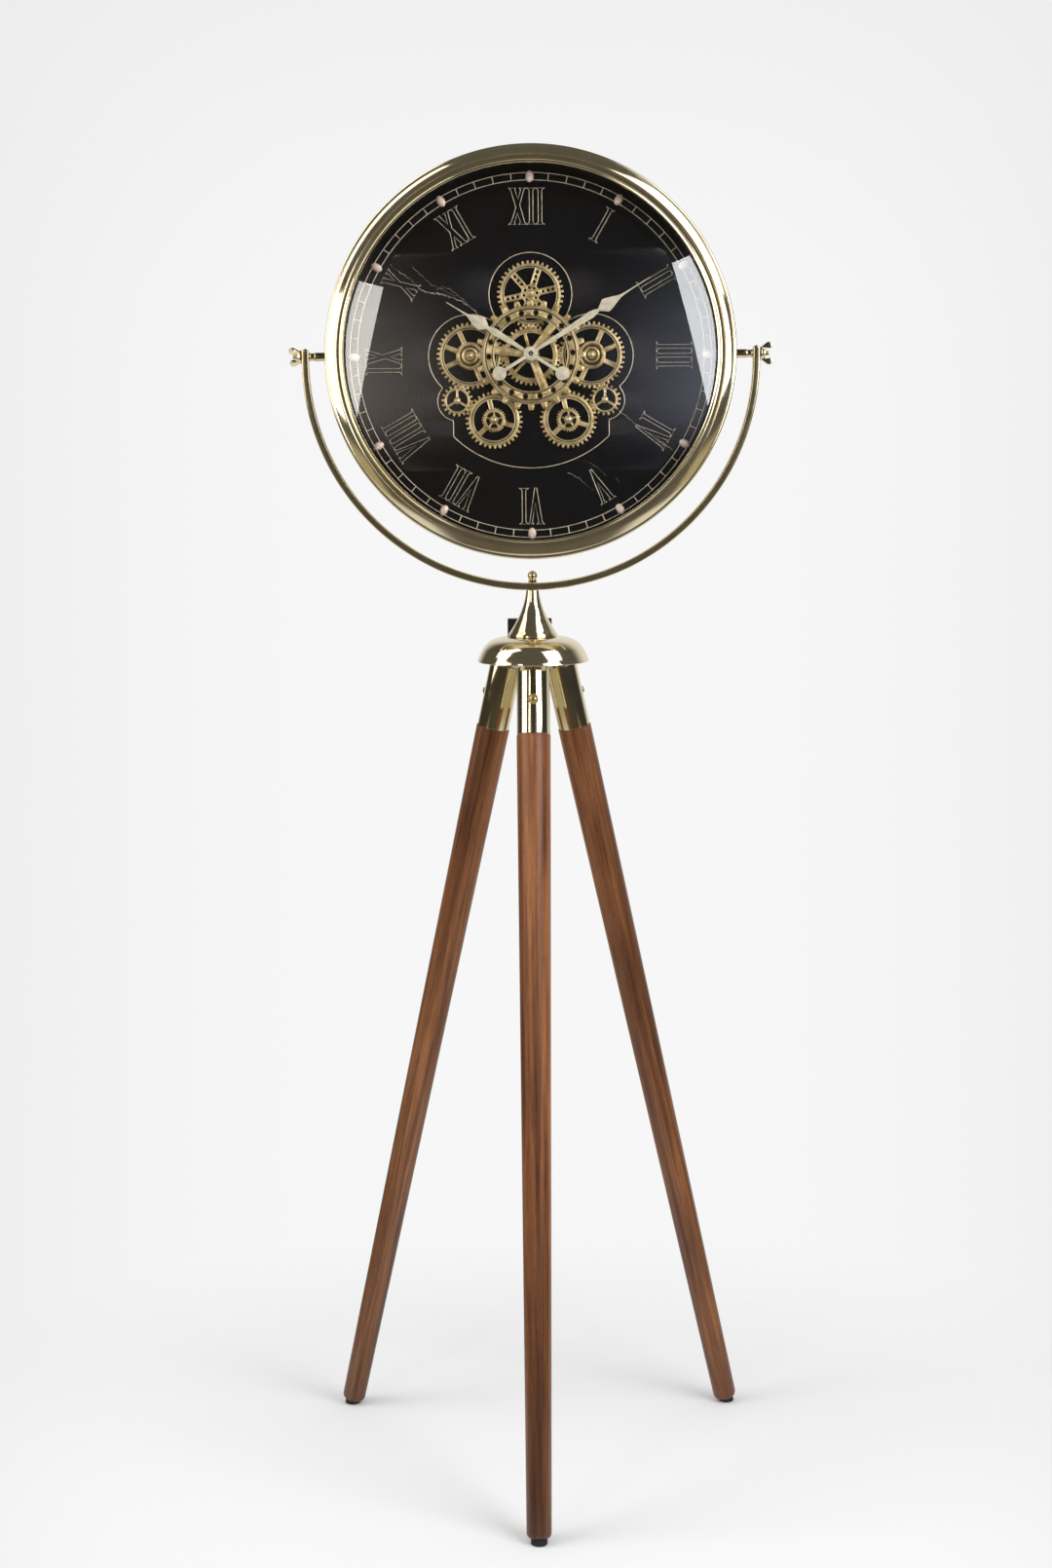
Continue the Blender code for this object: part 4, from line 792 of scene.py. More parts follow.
# Roman numerals: outlines of serif capitals, feet to the centre
FOOT = 21.2
HALF_I = [
    (5.0, FOOT), (3.6, 20.2), (2.5, 19.2), (2.15, 17.8), (2.15, -17.8), (2.7, -19.4), (3.8, -20.4),
    (5.2, -FOOT),
]
GLYPH_I = [(-5.0, FOOT)] + HALF_I + [(-x, y) for x, y in HALF_I[:0:-1]]
GLYPH_V = [
    (-9.8, FOOT), (-1.4, FOOT), (-1.9, 20.3), (-3.2, 19.2), (0.8, -4.2), (4.6, 19.2), (3.5, 20.3),
    (3.0, FOOT), (9.8, FOOT), (9.3, 20.3), (7.5, 19.2), (1.5, -FOOT), (-0.9, -FOOT), (-7.5, 19.2),
    (-9.2, 20.3),
]
GLYPH_X = [
    (-10.2, FOOT), (-3.0, FOOT), (-3.1, 20.0), (-2.8, 18.6), (0.5, 7.9), (3.6, 18.6), (3.0, 20.2),
    (2.4, FOOT), (8.9, FOOT), (8.6, 20.2), (7.4, 19.2), (2.5, 1.7), (8.5, -19.2), (9.6, -20.3),
    (10.8, -FOOT), (1.3, -FOOT), (2.2, -20.2), (3.3, -18.6), (-0.4, -7.9), (-3.8, -18.8),
    (-3.5, -20.2), (-2.9, -FOOT), (-10.4, -FOOT), (-9.6, -20.3), (-7.9, -19.2), (-2.1, -1.7),
    (-8.0, 19.0), (-9.4, 20.3),
]
# Each capital with the width that it takes in a numeral
GLYPHS = {"I": (GLYPH_I, 10.5), "V": (GLYPH_V, 18.0), "X": (GLYPH_X, 21.4)}
HOURS = "XII I II III IV V VI VII VIII IX X XI".split()
# Radius of each numeral's middle and how far it stands clockwise of its hour
NUMERAL_PLACES = (
    (175.8, -3.8), (175.4, -2.6), (173.0, -0.1), (170.7, 0.7), (171.1, 4.4), (173.6, 6.7),
    (177.9, 0.4), (176.8, -6.0), (175.2, -7.0), (174.8, -5.1), (176.2, -3.2), (175.1, -1.9),
)


def flanks_and_caps(outline):
    """An outline's flanks, from serif tip to serif tip, and the thin lines that close it."""
    ends = [abs(y) >= FOOT for _, y in outline]
    flanks, caps = [], []
    for start in range(len(outline)):
        if not (ends[start - 1] and ends[start]):
            continue
        caps.append([outline[start - 1], outline[start]])
        flank, i = [outline[start]], start
        while len(flank) == 1 or not ends[i]:
            i = (i + 1) % len(outline)
            flank.append(outline[i])
        flanks.append(flank)
    return flanks, caps


def numeral_lines():
    """Flanks and caps of all twelve numerals, in their places on the dial."""
    lines = ([], [])
    for hour, (text, (radius, aside)) in enumerate(zip(HOURS, NUMERAL_PLACES)):
        clockwise = turn(-hour * pi / 6, "Z")
        across = -sum(GLYPHS[c][1] for c in text) / 2
        for c in text:
            outline, width = GLYPHS[c]
            middle = across + width / 2 + aside
            across += width
            for found, kept in zip(flanks_and_caps(outline), lines):
                for line in found:
                    spots = [Vector((x + middle, y + radius, LINE_LEVEL)) for x, y in line]
                    kept.append([tuple(clockwise @ spot) for spot in spots])
    return lines


flanks, caps = numeral_lines()
numerals = Shape(HEAD)
numerals.add(wires(flanks, 0.44, GOLD_LINE, closed=False))
numerals.add(wires(caps, 0.2, GOLD_LINE, 6, closed=False))
for flank in flanks:
    for x, y, z in (flank[0], flank[-1]):
        numerals.add(oval_dome(1.5, 1.5, 0.55, 3, 10), 0, shift(x, y, z - 0.1))
piece("numerals_gilt", numerals, [GOLD_LINE], "head", angle=60)

# Marble veins in the dial's black, drawn as fine broken lines
VEIN_LEVEL = -9.02
VEINS = (
    ((-166, 108), (-154, 99), (-142, 91), (-129, 78), (-118, 74.5), (-108, 74), (-96, 70.5),
     (-82, 65), (-70, 57), (-61, 48), (-53, 41.5)),
    ((-140, 106), (-132, 98), (-125, 92), (-118, 85), (-106, 80), (-96, 74), (-88, 71)),
    ((-112, 79), (-104, 82.5), (-95, 79), (-84, 70), (-75, 63)),
    ((104.5, -66), (113, -72), (121, -79), (127, -84), (139, -92), (152, -101), (163, -109),
     (171, -113.5)),
    ((60, -124), (68, -126), (78, -132), (88, -142)),
    ((43, -138), (56, -145), (66, -154), (74, -160)),
    ((100, -145), (104, -150)),
)


def wander(points, step=2.2, sway=0.9):
    """The line in short steps that stray a little to both sides of it."""
    made = []
    phase = points[0][0] * 0.37
    for (x0, y0), (x1, y1) in zip(points, points[1:]):
        count = max(2, ceil(hypot(x1 - x0, y1 - y0) / step))
        dx, dy = (x1 - x0) / count, (y1 - y0) / count
        for i in range(count):
            phase += 1.0
            off = sway * sin(phase * 2.1) * sin(phase * 0.77 + 1.3)
            made.append((x0 + dx * i - dy * off * 0.5, y0 + dy * i + dx * off * 0.5))
    return lifted(made + [points[-1]], VEIN_LEVEL)


veins = Shape(HEAD)
for lines, size in (
    ([wander(VEINS[i]) for i in (0, 3)], 0.5),
    ([wander(VEINS[i]) for i in (1, 2, 4, 5, 6)], 0.2),
    ([wander(VEINS[0][4:7], 1.4, 1.6)], 0.95),
):
    veins.add(wires(lines, size, VEIN, 6, closed=False))
piece("marble_veins", veins, [VEIN], "head", angle=60)


# Gear train: wheels with their teeth, the rim's inner radius, the hub's radius, the
# width of a spoke and the bore
Wheel = namedtuple("Wheel", "teeth rim hub spoke bore")
DRIVE = Wheel(36, 26.6, 8.5, 3.6, 4.3)
TOP = Wheel(40, 31.2, 11.0, 7.4, 2.8)
SIDE = Wheel(40, 31.2, 16.5, 5.6, 2.8)
IDLER = Wheel(18, 12.5, 3.5, 2.6, 2.8)
LOWER = Wheel(34, 24.3, 8.5, 5.4, 2.8)
MODULE, ROOT_DEPTH = 1.9, 1.10
WHEEL_LOW, WHEEL_HIGH = -7.8, -3.8
# Cogs: the length from the root, and half the width at the root, half way and at the tip
Cog = namedtuple("Cog", "length foot pitch tip")
GEAR_COG = Cog(1.94 * MODULE, 1.58, 1.38, 1.08)
SQUARE_COG = Cog(7.0, 3.9, 3.45, 2.75)
PINION_COG = Cog(1.9, 0.85, 0.68, 0.48)
COG_INSET = 0.15
COLLAR_LOW, COLLAR_HIGH = -11.0, -5.8
# The last face paint is painted shade
FACE_PAINTS = [GEAR_BRASS, BRIGHT_BRASS, DARK_BRASS, PAINTED_SHADE_BRASS]
CAST, RUBBED, DARK, PAINTED_SHADE = range(4)


def tooth(cog, low, high, edge=0.25, sink=1.2):
    """One cog along +X from its root, its crown rounded off."""
    length, foot, pitch, tip = cog
    outline = [
        (-sink, -foot), (0.0, -foot), (length * 0.5, -pitch), (length - 0.5, -tip),
        (length - 0.12, -tip * 0.84), (length, -tip * 0.55), (length, tip * 0.55),
        (length - 0.12, tip * 0.84), (length - 0.5, tip), (length * 0.5, pitch),
        (0.0, foot), (-sink, foot),
    ]
    return flat([outline], low, high, edge)


def windows(inner, outer, spokes, width, taper=1.0):
    """The openings between straight spokes of one width."""
    near, far = asin(width / 2 / inner), asin(width * taper / 2 / outer)
    loops = []
    ordered = sorted(a % (2 * pi) for a in spokes)
    for first, second in zip(ordered, ordered[1:] + [ordered[0] + 2 * pi]):
        start, end = first + far, second - far
        loop = arc((0, 0), outer, start, end, max(3, ceil((end - start) / radians(4))))
        start, end = second - near, first + near
        if start - end > near * 0.4:
            loop += arc((0, 0), inner, start, end, max(2, ceil((start - end) / radians(8))))
        else:
            loop.append(polar(inner * 1.05, (start + end) / 2))
        loops.append(fillet(loop, 1.6) if len(loop) < 6 else rounded_ends(loop))
    return loops


def spoked_wheel(place, wheel, phase, spokes, holes=()):
    """A spoked gear: a plate with windows between its spokes, and cogs round it."""
    root = MODULE * (wheel.teeth / 2 - ROOT_DEPTH)
    shape = Shape(place)
    loops = [circle(root, max(90, wheel.teeth * 4))]
    loops += windows(wheel.hub, wheel.rim, spokes, wheel.spoke)
    loops += [circle(wheel.bore, 20)] + list(holes)
    shape.add(flat(loops, WHEEL_LOW, WHEEL_HIGH, 0.35))
    cog = tooth(GEAR_COG, WHEEL_LOW + COG_INSET, WHEEL_HIGH - COG_INSET)
    return shape.add(round_copies(cog, wheel.teeth, root, phase, GEAR_BRASS))


def rim_lines(shape, lines, shade_line=None):
    """Raised lines (radius, size) on a wheel's face, with a dark line of painted shade between them
    where a groove's shade would fall.
    """
    for radius, size in lines:
        shape.add(bead(radius, WHEEL_HIGH, size), RUBBED)
    if shade_line:
        radius, size = shade_line
        shape.add(bead(radius, WHEEL_HIGH - 0.1, size), PAINTED_SHADE)


def spoke_lines(shape, spokes, width, inner, outer, size=0.38):
    """Raised lines along both edges of each spoke."""
    lines = []
    for angle in spokes:
        for side in (-1, 1):
            off = side * (width / 2 - size * 0.9)
            lines.append([
                (x * cos(angle) - off * sin(angle), x * sin(angle) + off * cos(angle), WHEEL_HIGH)
                for x in (inner, outer)
            ])
    shape.add(wires(lines, size, BRIGHT_BRASS, closed=False), RUBBED)


def collar(inner, outer, low, high, steps=48):
    return lathe(fillet([(inner, low), (outer, low), (outer, high), (inner, high)], 0.3), steps)


def mesh_phase(driver_phase, driver_teeth, teeth, direction):
    """The phase that sets a wheel's gaps on its driver's cogs, in one direction."""
    offset = (direction - driver_phase) * driver_teeth
    return direction + pi - (pi - offset) / teeth


def spoke_angles(count, first):
    return tuple(radians(first + 360 // count * k) for k in range(count))


SIDE_SPOKES = tuple(radians(a) for a in (66, 21, -24, -114, -159, 156))
TOP_SPOKES = spoke_angles(6, 12)
DRIVE_SPOKES = spoke_angles(6, 105)
LOWER_SPOKES = spoke_angles(3, 103)
IDLER_SPOKES = spoke_angles(3, 90)
RING_SPOKES = spoke_angles(3, 52)

# Drive wheel, behind the front ring
drive = spoked_wheel(HEAD, DRIVE, 0.0, DRIVE_SPOKES)
rim_lines(drive, ((29.4, 0.55), (26.9, 0.4)))
drive.add(collar(4.6, 8.2, COLLAR_LOW, COLLAR_HIGH))
piece("drive_wheel_cut", drive, FACE_PAINTS, "drive", "drive_wheel")

# Coarse wheel with its square cogs, and a dark ring of painted shade that shows through the front
# ring's holes
BLOCKS, COARSE_RADIUS, COARSE_INNER, COARSE_LOW, COARSE_HIGH = 24, 58.2, 53.0, -0.5, 2.5
BLOCK_LOW, BLOCK_HIGH, SHADOW_OUTER, SHADOW_INNER = -0.4, 2.4, 53.1, 44.5
coarse = Shape(HEAD)
rim = [circle(COARSE_RADIUS, 192), circle(COARSE_INNER, 144)]
coarse.add(flat(rim, COARSE_LOW, COARSE_HIGH, 0.4))
shadow = [circle(SHADOW_OUTER, 144), circle(SHADOW_INNER, 144)]
coarse.add(flat(shadow, BLOCK_LOW, BLOCK_HIGH), PAINTED_SHADE)
block = tooth(SQUARE_COG, BLOCK_LOW, BLOCK_HIGH, 0.5, 2.0)
coarse.add(round_copies(block, BLOCKS, COARSE_RADIUS, 0.0, GEAR_BRASS))
stub = oval_dome(3.4, 3.4, 0.5, 4, 12)
coarse.add(round_copies(stub, BLOCKS, 62.2, 0.0, GEAR_BRASS), CAST, shift(0, 0, BLOCK_HIGH))
coarse.add(bead(57.7, 2.35, 0.5), RUBBED)
piece("coarse_wheel_cut", coarse, FACE_PAINTS, "drive", "coarse_wheel")

# Front ring with its row of holes and three broad spokes
HOLES, HOLE_RADIUS, HOLE_ORBIT, FIRST_HOLE = 18, 3.1, 49.55, radians(2.4)
RING_RADIUS, RING_LOW, RING_HIGH = 55.9, 2.8, 5.8
ring = Shape(HEAD)
loops = [circle(RING_RADIUS, 192)] + windows(10.0, 43.2, RING_SPOKES, 8.6, 1.2) + [circle(4.3, 24)]
loops += [circle(HOLE_RADIUS, 20, polar(HOLE_ORBIT, a)) for a in spread(HOLES, FIRST_HOLE)]
ring.add(flat(loops, RING_LOW, RING_HIGH, 0.4))
# The two dark beads are painted shade, in the grooves inside the bright beads
for radius, sunk, size, paint in (
    (54.95, 0.1, 0.9, RUBBED), (44.2, 0.1, 0.8, RUBBED), (53.6, 0.2, 0.75, PAINTED_SHADE),
    (45.45, 0.2, 0.6, PAINTED_SHADE),
):
    ring.add(bead(radius, RING_HIGH - sunk, size), paint)
eyelet = bead(3.3, 0, 0.3, 24, 8)
eyelets = round_copies(eyelet, HOLES, HOLE_ORBIT, FIRST_HOLE, DARK_BRASS)
ring.add(eyelets, DARK, shift(0, 0, RING_HIGH - 0.05))
for angle in RING_SPOKES:
    ridge = [(8.5, -2.6), (43.5, -3.6), (43.5, 3.6), (8.5, 2.6)]
    ring.add(flat([ridge], RING_HIGH - 0.4, RING_HIGH + 0.25, 0.6), CAST, turn(angle, "Z"))
ring.add(collar(4.6, 9.7, -3.5, 4.3))
ring.add(bead(9.2, RING_HIGH - 0.05, 0.5), RUBBED)
piece("rivet_ring_cut", ring, FACE_PAINTS, "drive", "rivet_ring")

# Top wheel: six pierced spokes and a pierced hub
LARGE_RIM, LARGE_SHADE_LINE = ((33.9, 0.75), (31.5, 0.45)), (32.7, 0.45)
pierced = [
    circle(1.85, 16, polar(radius, angle)) for angle in TOP_SPOKES for radius in (15.4, 21.4, 27.2)
]
pierced += [circle(1.6, 14, polar(7.7, a)) for a in spoke_angles(8, 10)]
phase = mesh_phase(0, DRIVE.teeth, TOP.teeth, pi / 2)
top = spoked_wheel(HEAD @ shift(0, ORBIT, 0), TOP, phase, TOP_SPOKES, pierced)
rim_lines(top, LARGE_RIM, LARGE_SHADE_LINE)
rim_lines(top, ((10.6, 0.5),))
spoke_lines(top, TOP_SPOKES, TOP.spoke, 11.2, 30.8)
rim_lines(top, ((5.0, 0.5),))
top.add(collar(3.1, 4.4, COLLAR_LOW, COLLAR_HIGH, 32))
piece("top_wheel_cut", top, FACE_PAINTS, "gear_top", "top_wheel")

# Side wheels with stepped bosses
BOSS_PROFILE = (
    (2.8, -5.5), (15.5, -5.5), (15.5, -2.4), (14.6, -1.5), (13.0, -1.5), (12.2, -2.5), (10.2, -2.5),
    (9.6, -1.3), (7.6, -1.0), (6.6, -1.9), (5.6, -1.9), (5.2, -0.9), (2.8, -0.9),
)
STROKE = (-0.6, -0.3, 0.0, 0.3, 0.6)
side_phases = {}
for side, direction, sign in (("right", 0.0, 1), ("left", pi, -1)):
    spokes = SIDE_SPOKES if sign > 0 else tuple(pi - a for a in SIDE_SPOKES)
    side_phases[side] = mesh_phase(0, DRIVE.teeth, SIDE.teeth, direction)
    wheel = spoked_wheel(HEAD @ shift(sign * ORBIT, 0, 0), SIDE, side_phases[side], spokes)
    rim_lines(wheel, LARGE_RIM, LARGE_SHADE_LINE)
    spoke_lines(wheel, spokes, SIDE.spoke, 16.4, 31.0)
    wheel.add(lathe(fillet(BOSS_PROFILE, 0.45), 64))
    # The two dark beads are painted shade, in the boss's two recesses
    wheel.add(bead(11.2, -2.5, 0.75, 64, 8), PAINTED_SHADE)
    wheel.add(bead(14.9, -1.75, 0.4, 64), RUBBED)
    wheel.add(bead(6.1, -1.75, 0.5, 48, 8), PAINTED_SHADE)
    for a in spoke_angles(3, 30):
        stroke = lifted([polar(8.3, a + b) for b in STROKE], -1.15)
        wheel.add(wires([stroke], 0.45, BRIGHT_BRASS, closed=False), RUBBED)
    stub = oval_dome(1.7, 1.7, 0.5, 3, 10)
    wheel.add(round_copies(stub, 12, 13.8, 0.0, GEAR_BRASS), CAST, shift(0, 0, -1.5))
    piece(side + "_wheel_cut", wheel, FACE_PAINTS, "gear_" + side, side + "_wheel")

# Idlers with leaf-shaped windows, and lower wheels with fine pinions
PINION_LOW, PINION_HIGH = -3.9, -1.2
for side, sign in (("left", -1), ("right", 1)):
    x, y = IDLERS[side]
    direction = atan2(y, x - sign * ORBIT)
    phase = mesh_phase(side_phases[side], SIDE.teeth, IDLER.teeth, direction)
    wheel = spoked_wheel(HEAD @ shift(x, y, 0), IDLER, phase, IDLER_SPOKES)
    wheel.add(bead(13.6, WHEEL_HIGH, 0.5, 64), RUBBED)
    spoke_lines(wheel, IDLER_SPOKES, IDLER.spoke, 3.4, 12.6, 0.3)
    piece(side + "_idler_cut", wheel, FACE_PAINTS, "idler_" + side, side + "_idler")

    lower_x, lower_y = LOWERS[side]
    direction = atan2(lower_y - y, lower_x - x)
    phase = mesh_phase(phase, IDLER.teeth, LOWER.teeth, direction)
    wheel = spoked_wheel(HEAD @ shift(lower_x, lower_y, 0), LOWER, phase, LOWER_SPOKES)
    rim_lines(wheel, ((27.9, 0.6), (24.7, 0.45)), (26.4, 0.5))
    spoke_lines(wheel, LOWER_SPOKES, LOWER.spoke, 12.0, 24.2)
    fine = tooth(PINION_COG, PINION_LOW + COG_INSET, PINION_HIGH - COG_INSET, 0.15, 0.8)
    wheel.add(round_copies(fine, 26, 12.7, 0.0, GEAR_BRASS))
    pinion = [circle(12.8, 96)] + windows(4.6, 9.6, spoke_angles(5, 18), 2.0)
    wheel.add(flat(pinion + [circle(LOWER.bore, 20)], PINION_LOW, PINION_HIGH, 0.3))
    wheel.add(bead(10.2, -1.35, 0.45, 64), RUBBED)
    # A dark disc behind the pinion's windows: painted shade seen through them
    wheel.add(flat([circle(9.5, 64), circle(4.7, 32)], -4.0, -3.2, 0.1), PAINTED_SHADE)
    wheel.add(bead(4.4, -1.3, 0.45, 48), RUBBED)
    piece(side + "_lower_cut", wheel, FACE_PAINTS, "lower_" + side, side + "_lower_wheel")

# Domed nuts on the posts, and the motor shaft's slotted head
NUT_GAP = 0.3
NUTS = {
    "left_nut": ((-ORBIT, 0), -0.8), "right_nut": ((ORBIT, 0), -0.8),
    "left_idler_nut": (IDLERS["left"], -3.8), "right_idler_nut": (IDLERS["right"], -3.8),
    "left_lower_nut": (LOWERS["left"], -1.1), "right_lower_nut": (LOWERS["right"], -1.1),
}
NUT_DOME = [
    (4.2, 0.0), (4.2, 0.7), (3.9, 1.2), (3.5, 1.5), (3.5, 1.7), (3.35, 2.4), (2.9, 3.05),
    (2.1, 3.55), (1.1, 3.78), (0, 3.8),
]
for name, ((x, y), seat) in NUTS.items():
    nut = Shape(HEAD @ shift(x, y, seat + NUT_GAP)).add(lathe([(0, 0)] + NUT_DOME, 32))
    piece(name + "_domed", nut, [BRIGHT_BRASS], "head", name)
shaft = Shape(HEAD @ shift(0, ORBIT, -3.5))
shaft.add(lathe([(0, -16.0), (2.5, -16.0), (2.5, 0.0)] + NUT_DOME, 32))
# The slot is a dark bar: painted shade where the cut would be shaded
shaft.add(box((-3.3, -0.45, 3.2), (3.3, 0.45, 3.86)), 1)
piece("motor_shaft_head", shaft, [BRIGHT_BRASS, DARK_BRASS], "gear_top", "motor_shaft")


# Hands: shares of the length, and of the half width there
MINUTE_SHARES = (
    (0.049, 0.20), (0.510, 0.54), (0.540, 0.42), (0.572, 0.20), (0.602, 0.62), (0.630, 1.00),
    (0.668, 0.84), (0.720, 0.46), (0.785, 0.15), (1.000, 0.04),
)
HOUR_SHARES = (
    (0.069, 0.20), (0.430, 0.54), (0.470, 0.42), (0.505, 0.20), (0.545, 0.64), (0.583, 1.00),
    (0.640, 0.84), (0.705, 0.46), (0.775, 0.15), (1.000, 0.05),
)
HOUR_LENGTH, HOUR_ANGLE = 116.5, radians(148.3)
MINUTE_LENGTH, MINUTE_ANGLE = 165.9, radians(32)
HAND_HALF_WIDTH, HAND_DISC, HAND_TAIL, NECK_HALF_WIDTH = 8.0, 8.2, 43.6, 2.0


def hand_outline(length, shares):
    """A hand along +X: a tail disc, a disc on the axis and a slim leaf-shaped blade."""
    neck, root = asin(NECK_HALF_WIDTH / HAND_DISC), asin(HAND_HALF_WIDTH * shares[0][1] / HAND_DISC)
    side = arc((-HAND_TAIL, 0), HAND_DISC, pi, neck, 20)
    side += arc((0, 0), HAND_DISC, pi - neck, root, 14)
    blade = [(length * along, HAND_HALF_WIDTH * wide) for along, wide in shares]
    side += blade[1:3] + smooth_line(blade[3:])
    return side + [(x, -y) for x, y in reversed(side[1:])]


hour = Shape(HEAD @ turn(HOUR_ANGLE, "Z"))
hour.add(flat([hand_outline(HOUR_LENGTH, HOUR_SHARES)], 12.5, 13.7, 0.3))
hour.add(lathe([(1.8, -14.6), (2.5, -14.6), (2.5, 13.0), (1.8, 13.0)], 32), 1)
hour.add(collar(2.2, 6.6, 13.5, 14.6))
piece("hour_hand_enamelled", hour, [CREAM, BRIGHT_BRASS], "hour", "hour_hand")

minute = Shape(HEAD @ turn(MINUTE_ANGLE, "Z"))
minute.add(flat([hand_outline(MINUTE_LENGTH, MINUTE_SHARES), circle(2.8, 28)], 17.5, 18.7, 0.3))
washer = [(2.8, 18.3), (6.4, 18.3), (6.4, 19.0), (5.2, 19.6), (2.8, 19.6)]
minute.add(lathe(fillet(washer, 0.25), 48))
piece("minute_hand_enamelled", minute, [CREAM], "minute", "minute_hand")

# Setting knob on the minute arbor that runs through the movement
KNOB_RADIUS, KNOB_FRONT, KNOB_BACK = 6.0, -30.9, -34.9
knob = Shape(HEAD)
knob.add(lathe([(0, 17.6), (1.2, 17.6), (1.5, 17.3), (1.5, -31.2), (0, -31.2)], 24), 1)
knob.add(lathe([(1.5, 17.4), (2.9, 17.4), (2.9, 16.8), (1.5, 16.8)], 24))
knob_profile = [
    (0, KNOB_FRONT), (KNOB_RADIUS, KNOB_FRONT), (KNOB_RADIUS, KNOB_BACK), (0, KNOB_BACK),
]
knob.add(lathe(fillet(knob_profile, 0.5, closed=False), 40))
flute = flat([circle(0.5, 10)], KNOB_BACK + 0.5, KNOB_FRONT - 0.5, 0.15)
knob.add(round_copies(flute, 24, KNOB_RADIUS - 0.1, 0.0, PLASTIC))
piece("set_knob_fluted", knob, [PLASTIC, STEEL], "minute", "set_knob")


# Yoke, pivots and wing nuts
YOKE_INNER, YOKE_OUTER, YOKE_HALF_DEPTH = 263.3, 271.8, 7.0
EAR_RADIUS, EAR_TOP = 4.25, 9.5
middle, ear_z = (YOKE_INNER + YOKE_OUTER) / 2, PIVOT_Z + EAR_TOP - EAR_RADIUS
outline = arc((0, YOKE_CENTRE_Z), YOKE_OUTER, pi, 2 * pi, 200)
outline += arc((middle, ear_z), EAR_RADIUS, 0, pi, 14)
outline += arc((0, YOKE_CENTRE_Z), YOKE_INNER, 2 * pi, pi, 200)
outline += arc((-middle, ear_z), EAR_RADIUS, 0, pi, 14)
yoke = Shape(TRIPOD @ UPRIGHT).add(flat([outline], -YOKE_HALF_DEPTH, YOKE_HALF_DEPTH, 1.8, 4))
piece("yoke_bent", yoke, [YOKE_BRASS], "yoke", "yoke")

STUD_PROFILE = (
    (0, 282.6), (2.3, 282.6), (3.0, 281.9), (3.0, 263.0), (5.2, 263.0), (5.2, 262.0), (4.5, 261.3),
    (4.5, 256.6), (5.2, 256.0), (5.2, 238.3), (3.0, 238.3), (3.0, 233.9), (6.5, 233.9),
    (6.5, 229.9), (0, 229.9),
)
THREAD_LINE, NUT_SEAT = 280.4, 272.1
NUT_PROFILE = ((3.3, 6.5), (5.6, 6.5), (6.0, 6.0), (6.3, 4.6), (8.0, 1.9), (8.0, 0.0), (3.3, 0.0))
WING = [(3.6, 1.46), (8.0, 1.46)] + arc((9.3, 10.3), 4.2, -pi / 6, pi * 5 / 6, 18)
WING += [(6.0, 6.8), (3.6, 6.8)]
for side, sign, spin in (("left", -1, radians(42)), ("right", 1, radians(90))):
    place = HEAD @ turn(sign * pi / 2, "Y")
    pivot = Shape(place)
    pivot.add(lathe(fillet(STUD_PROFILE, 0.4), 48))
    pivot.add(bead(3.0, 0, 0.12, 24, 6), 0, shift(0, 0, THREAD_LINE))
    piece("pivot_stud_" + side + "_turned", pivot, [BRASS], "head", "pivot_stud_" + side)

    nut = Shape(place @ shift(0, 0, NUT_SEAT))
    nut.add(lathe(fillet(NUT_PROFILE, 0.5), 56))
    for k in (0, 1):
        wing = flat([rounded_ends(WING, 1.0)], -2.25, 2.25, 1.1, 3)
        nut.add(wing, 0, turn(spin + k * pi, "Z") @ UPRIGHT)
    piece("wing_nut_" + side + "_cast", nut, [BRASS], "wing_" + side, "wing_nut_" + side)


# Spire, ball bolt, canopy and hub
SPIRE_HEIGHT, SPIRE_BORE = 55.5, 4.3
SPIRE_CURVE = (
    (29.2, 0.0), (29.2, 2.6), (25.975, 7.77), (21.46, 15.54), (16.085, 25.53), (11.785, 36.63),
    (8.99, 46.62), (7.7, SPIRE_HEIGHT),
)
spire_profile = [(SPIRE_BORE, 0.0), (28.7, 0.0)] + smooth_line(SPIRE_CURVE, 8)[1:]
spire_profile += [(7.2, SPIRE_HEIGHT), (SPIRE_BORE, SPIRE_HEIGHT)]
spire = Shape(TRIPOD @ shift(0, 0, SPIRE_Z)).add(lathe(spire_profile, 128))
piece("spire_spun", spire, [SOFT_BRASS], "tripod", "spire")

BALL_RADIUS, BALL_HEIGHT, BOLT_RADIUS, BOLT_END = 5.9, 8.32, 4.0, -84.7
bolt_profile = [(0, BALL_HEIGHT + BALL_RADIUS)]
bolt_profile += arc((0, BALL_HEIGHT), BALL_RADIUS, pi / 2, -0.927, 20)[1:]
bolt_profile += [(3.9, 3.5), (5.2, 3.0), (5.2, 0.5), (4.8, 0.0), (BOLT_RADIUS, 0.0)]
bolt_profile += [(BOLT_RADIUS, BOLT_END), (0, BOLT_END)]
bolt = Shape(TRIPOD @ shift(0, 0, BOLT_SEAT_Z)).add(lathe(bolt_profile, 64))
piece("ball_bolt_turned", bolt, [BRASS], "ball", "ball_bolt")

CANOPY_TOP, CANOPY_WALL, CANOPY_BORE = 29.7, 1.5, 4.3
CANOPY_CURVE = (
    (30.285, CANOPY_TOP), (38.0, 29.05), (46.437, 26.73), (51.8, 24.2), (55.859, 21.087),
    (59.4, 17.2), (61.916, 13.068), (64.0, 9.0), (65.281, 5.94), (66.5, 2.7), (67.0, 1.0),
)
CANOPY_LIP = [(67.3, 0.35), (67.1, 0.0), (66.0, 0.0), (65.7, 0.3)]
outside = smooth_line(CANOPY_CURVE)
inside = [(r - CANOPY_WALL, max(h - CANOPY_WALL, 0.0)) for r, h in outside if h > CANOPY_WALL]
canopy_profile = [(CANOPY_BORE, CANOPY_TOP)] + outside + CANOPY_LIP + inside[::-1]
canopy_profile.append((CANOPY_BORE, CANOPY_TOP - CANOPY_WALL))
canopy = Shape(TRIPOD @ shift(0, 0, CANOPY_Z)).add(lathe(canopy_profile, 192))
piece("canopy_spun", canopy, [SOFT_BRASS], "tripod", "canopy")
softened("hub_block", "tripod", STEEL, 0.0006)


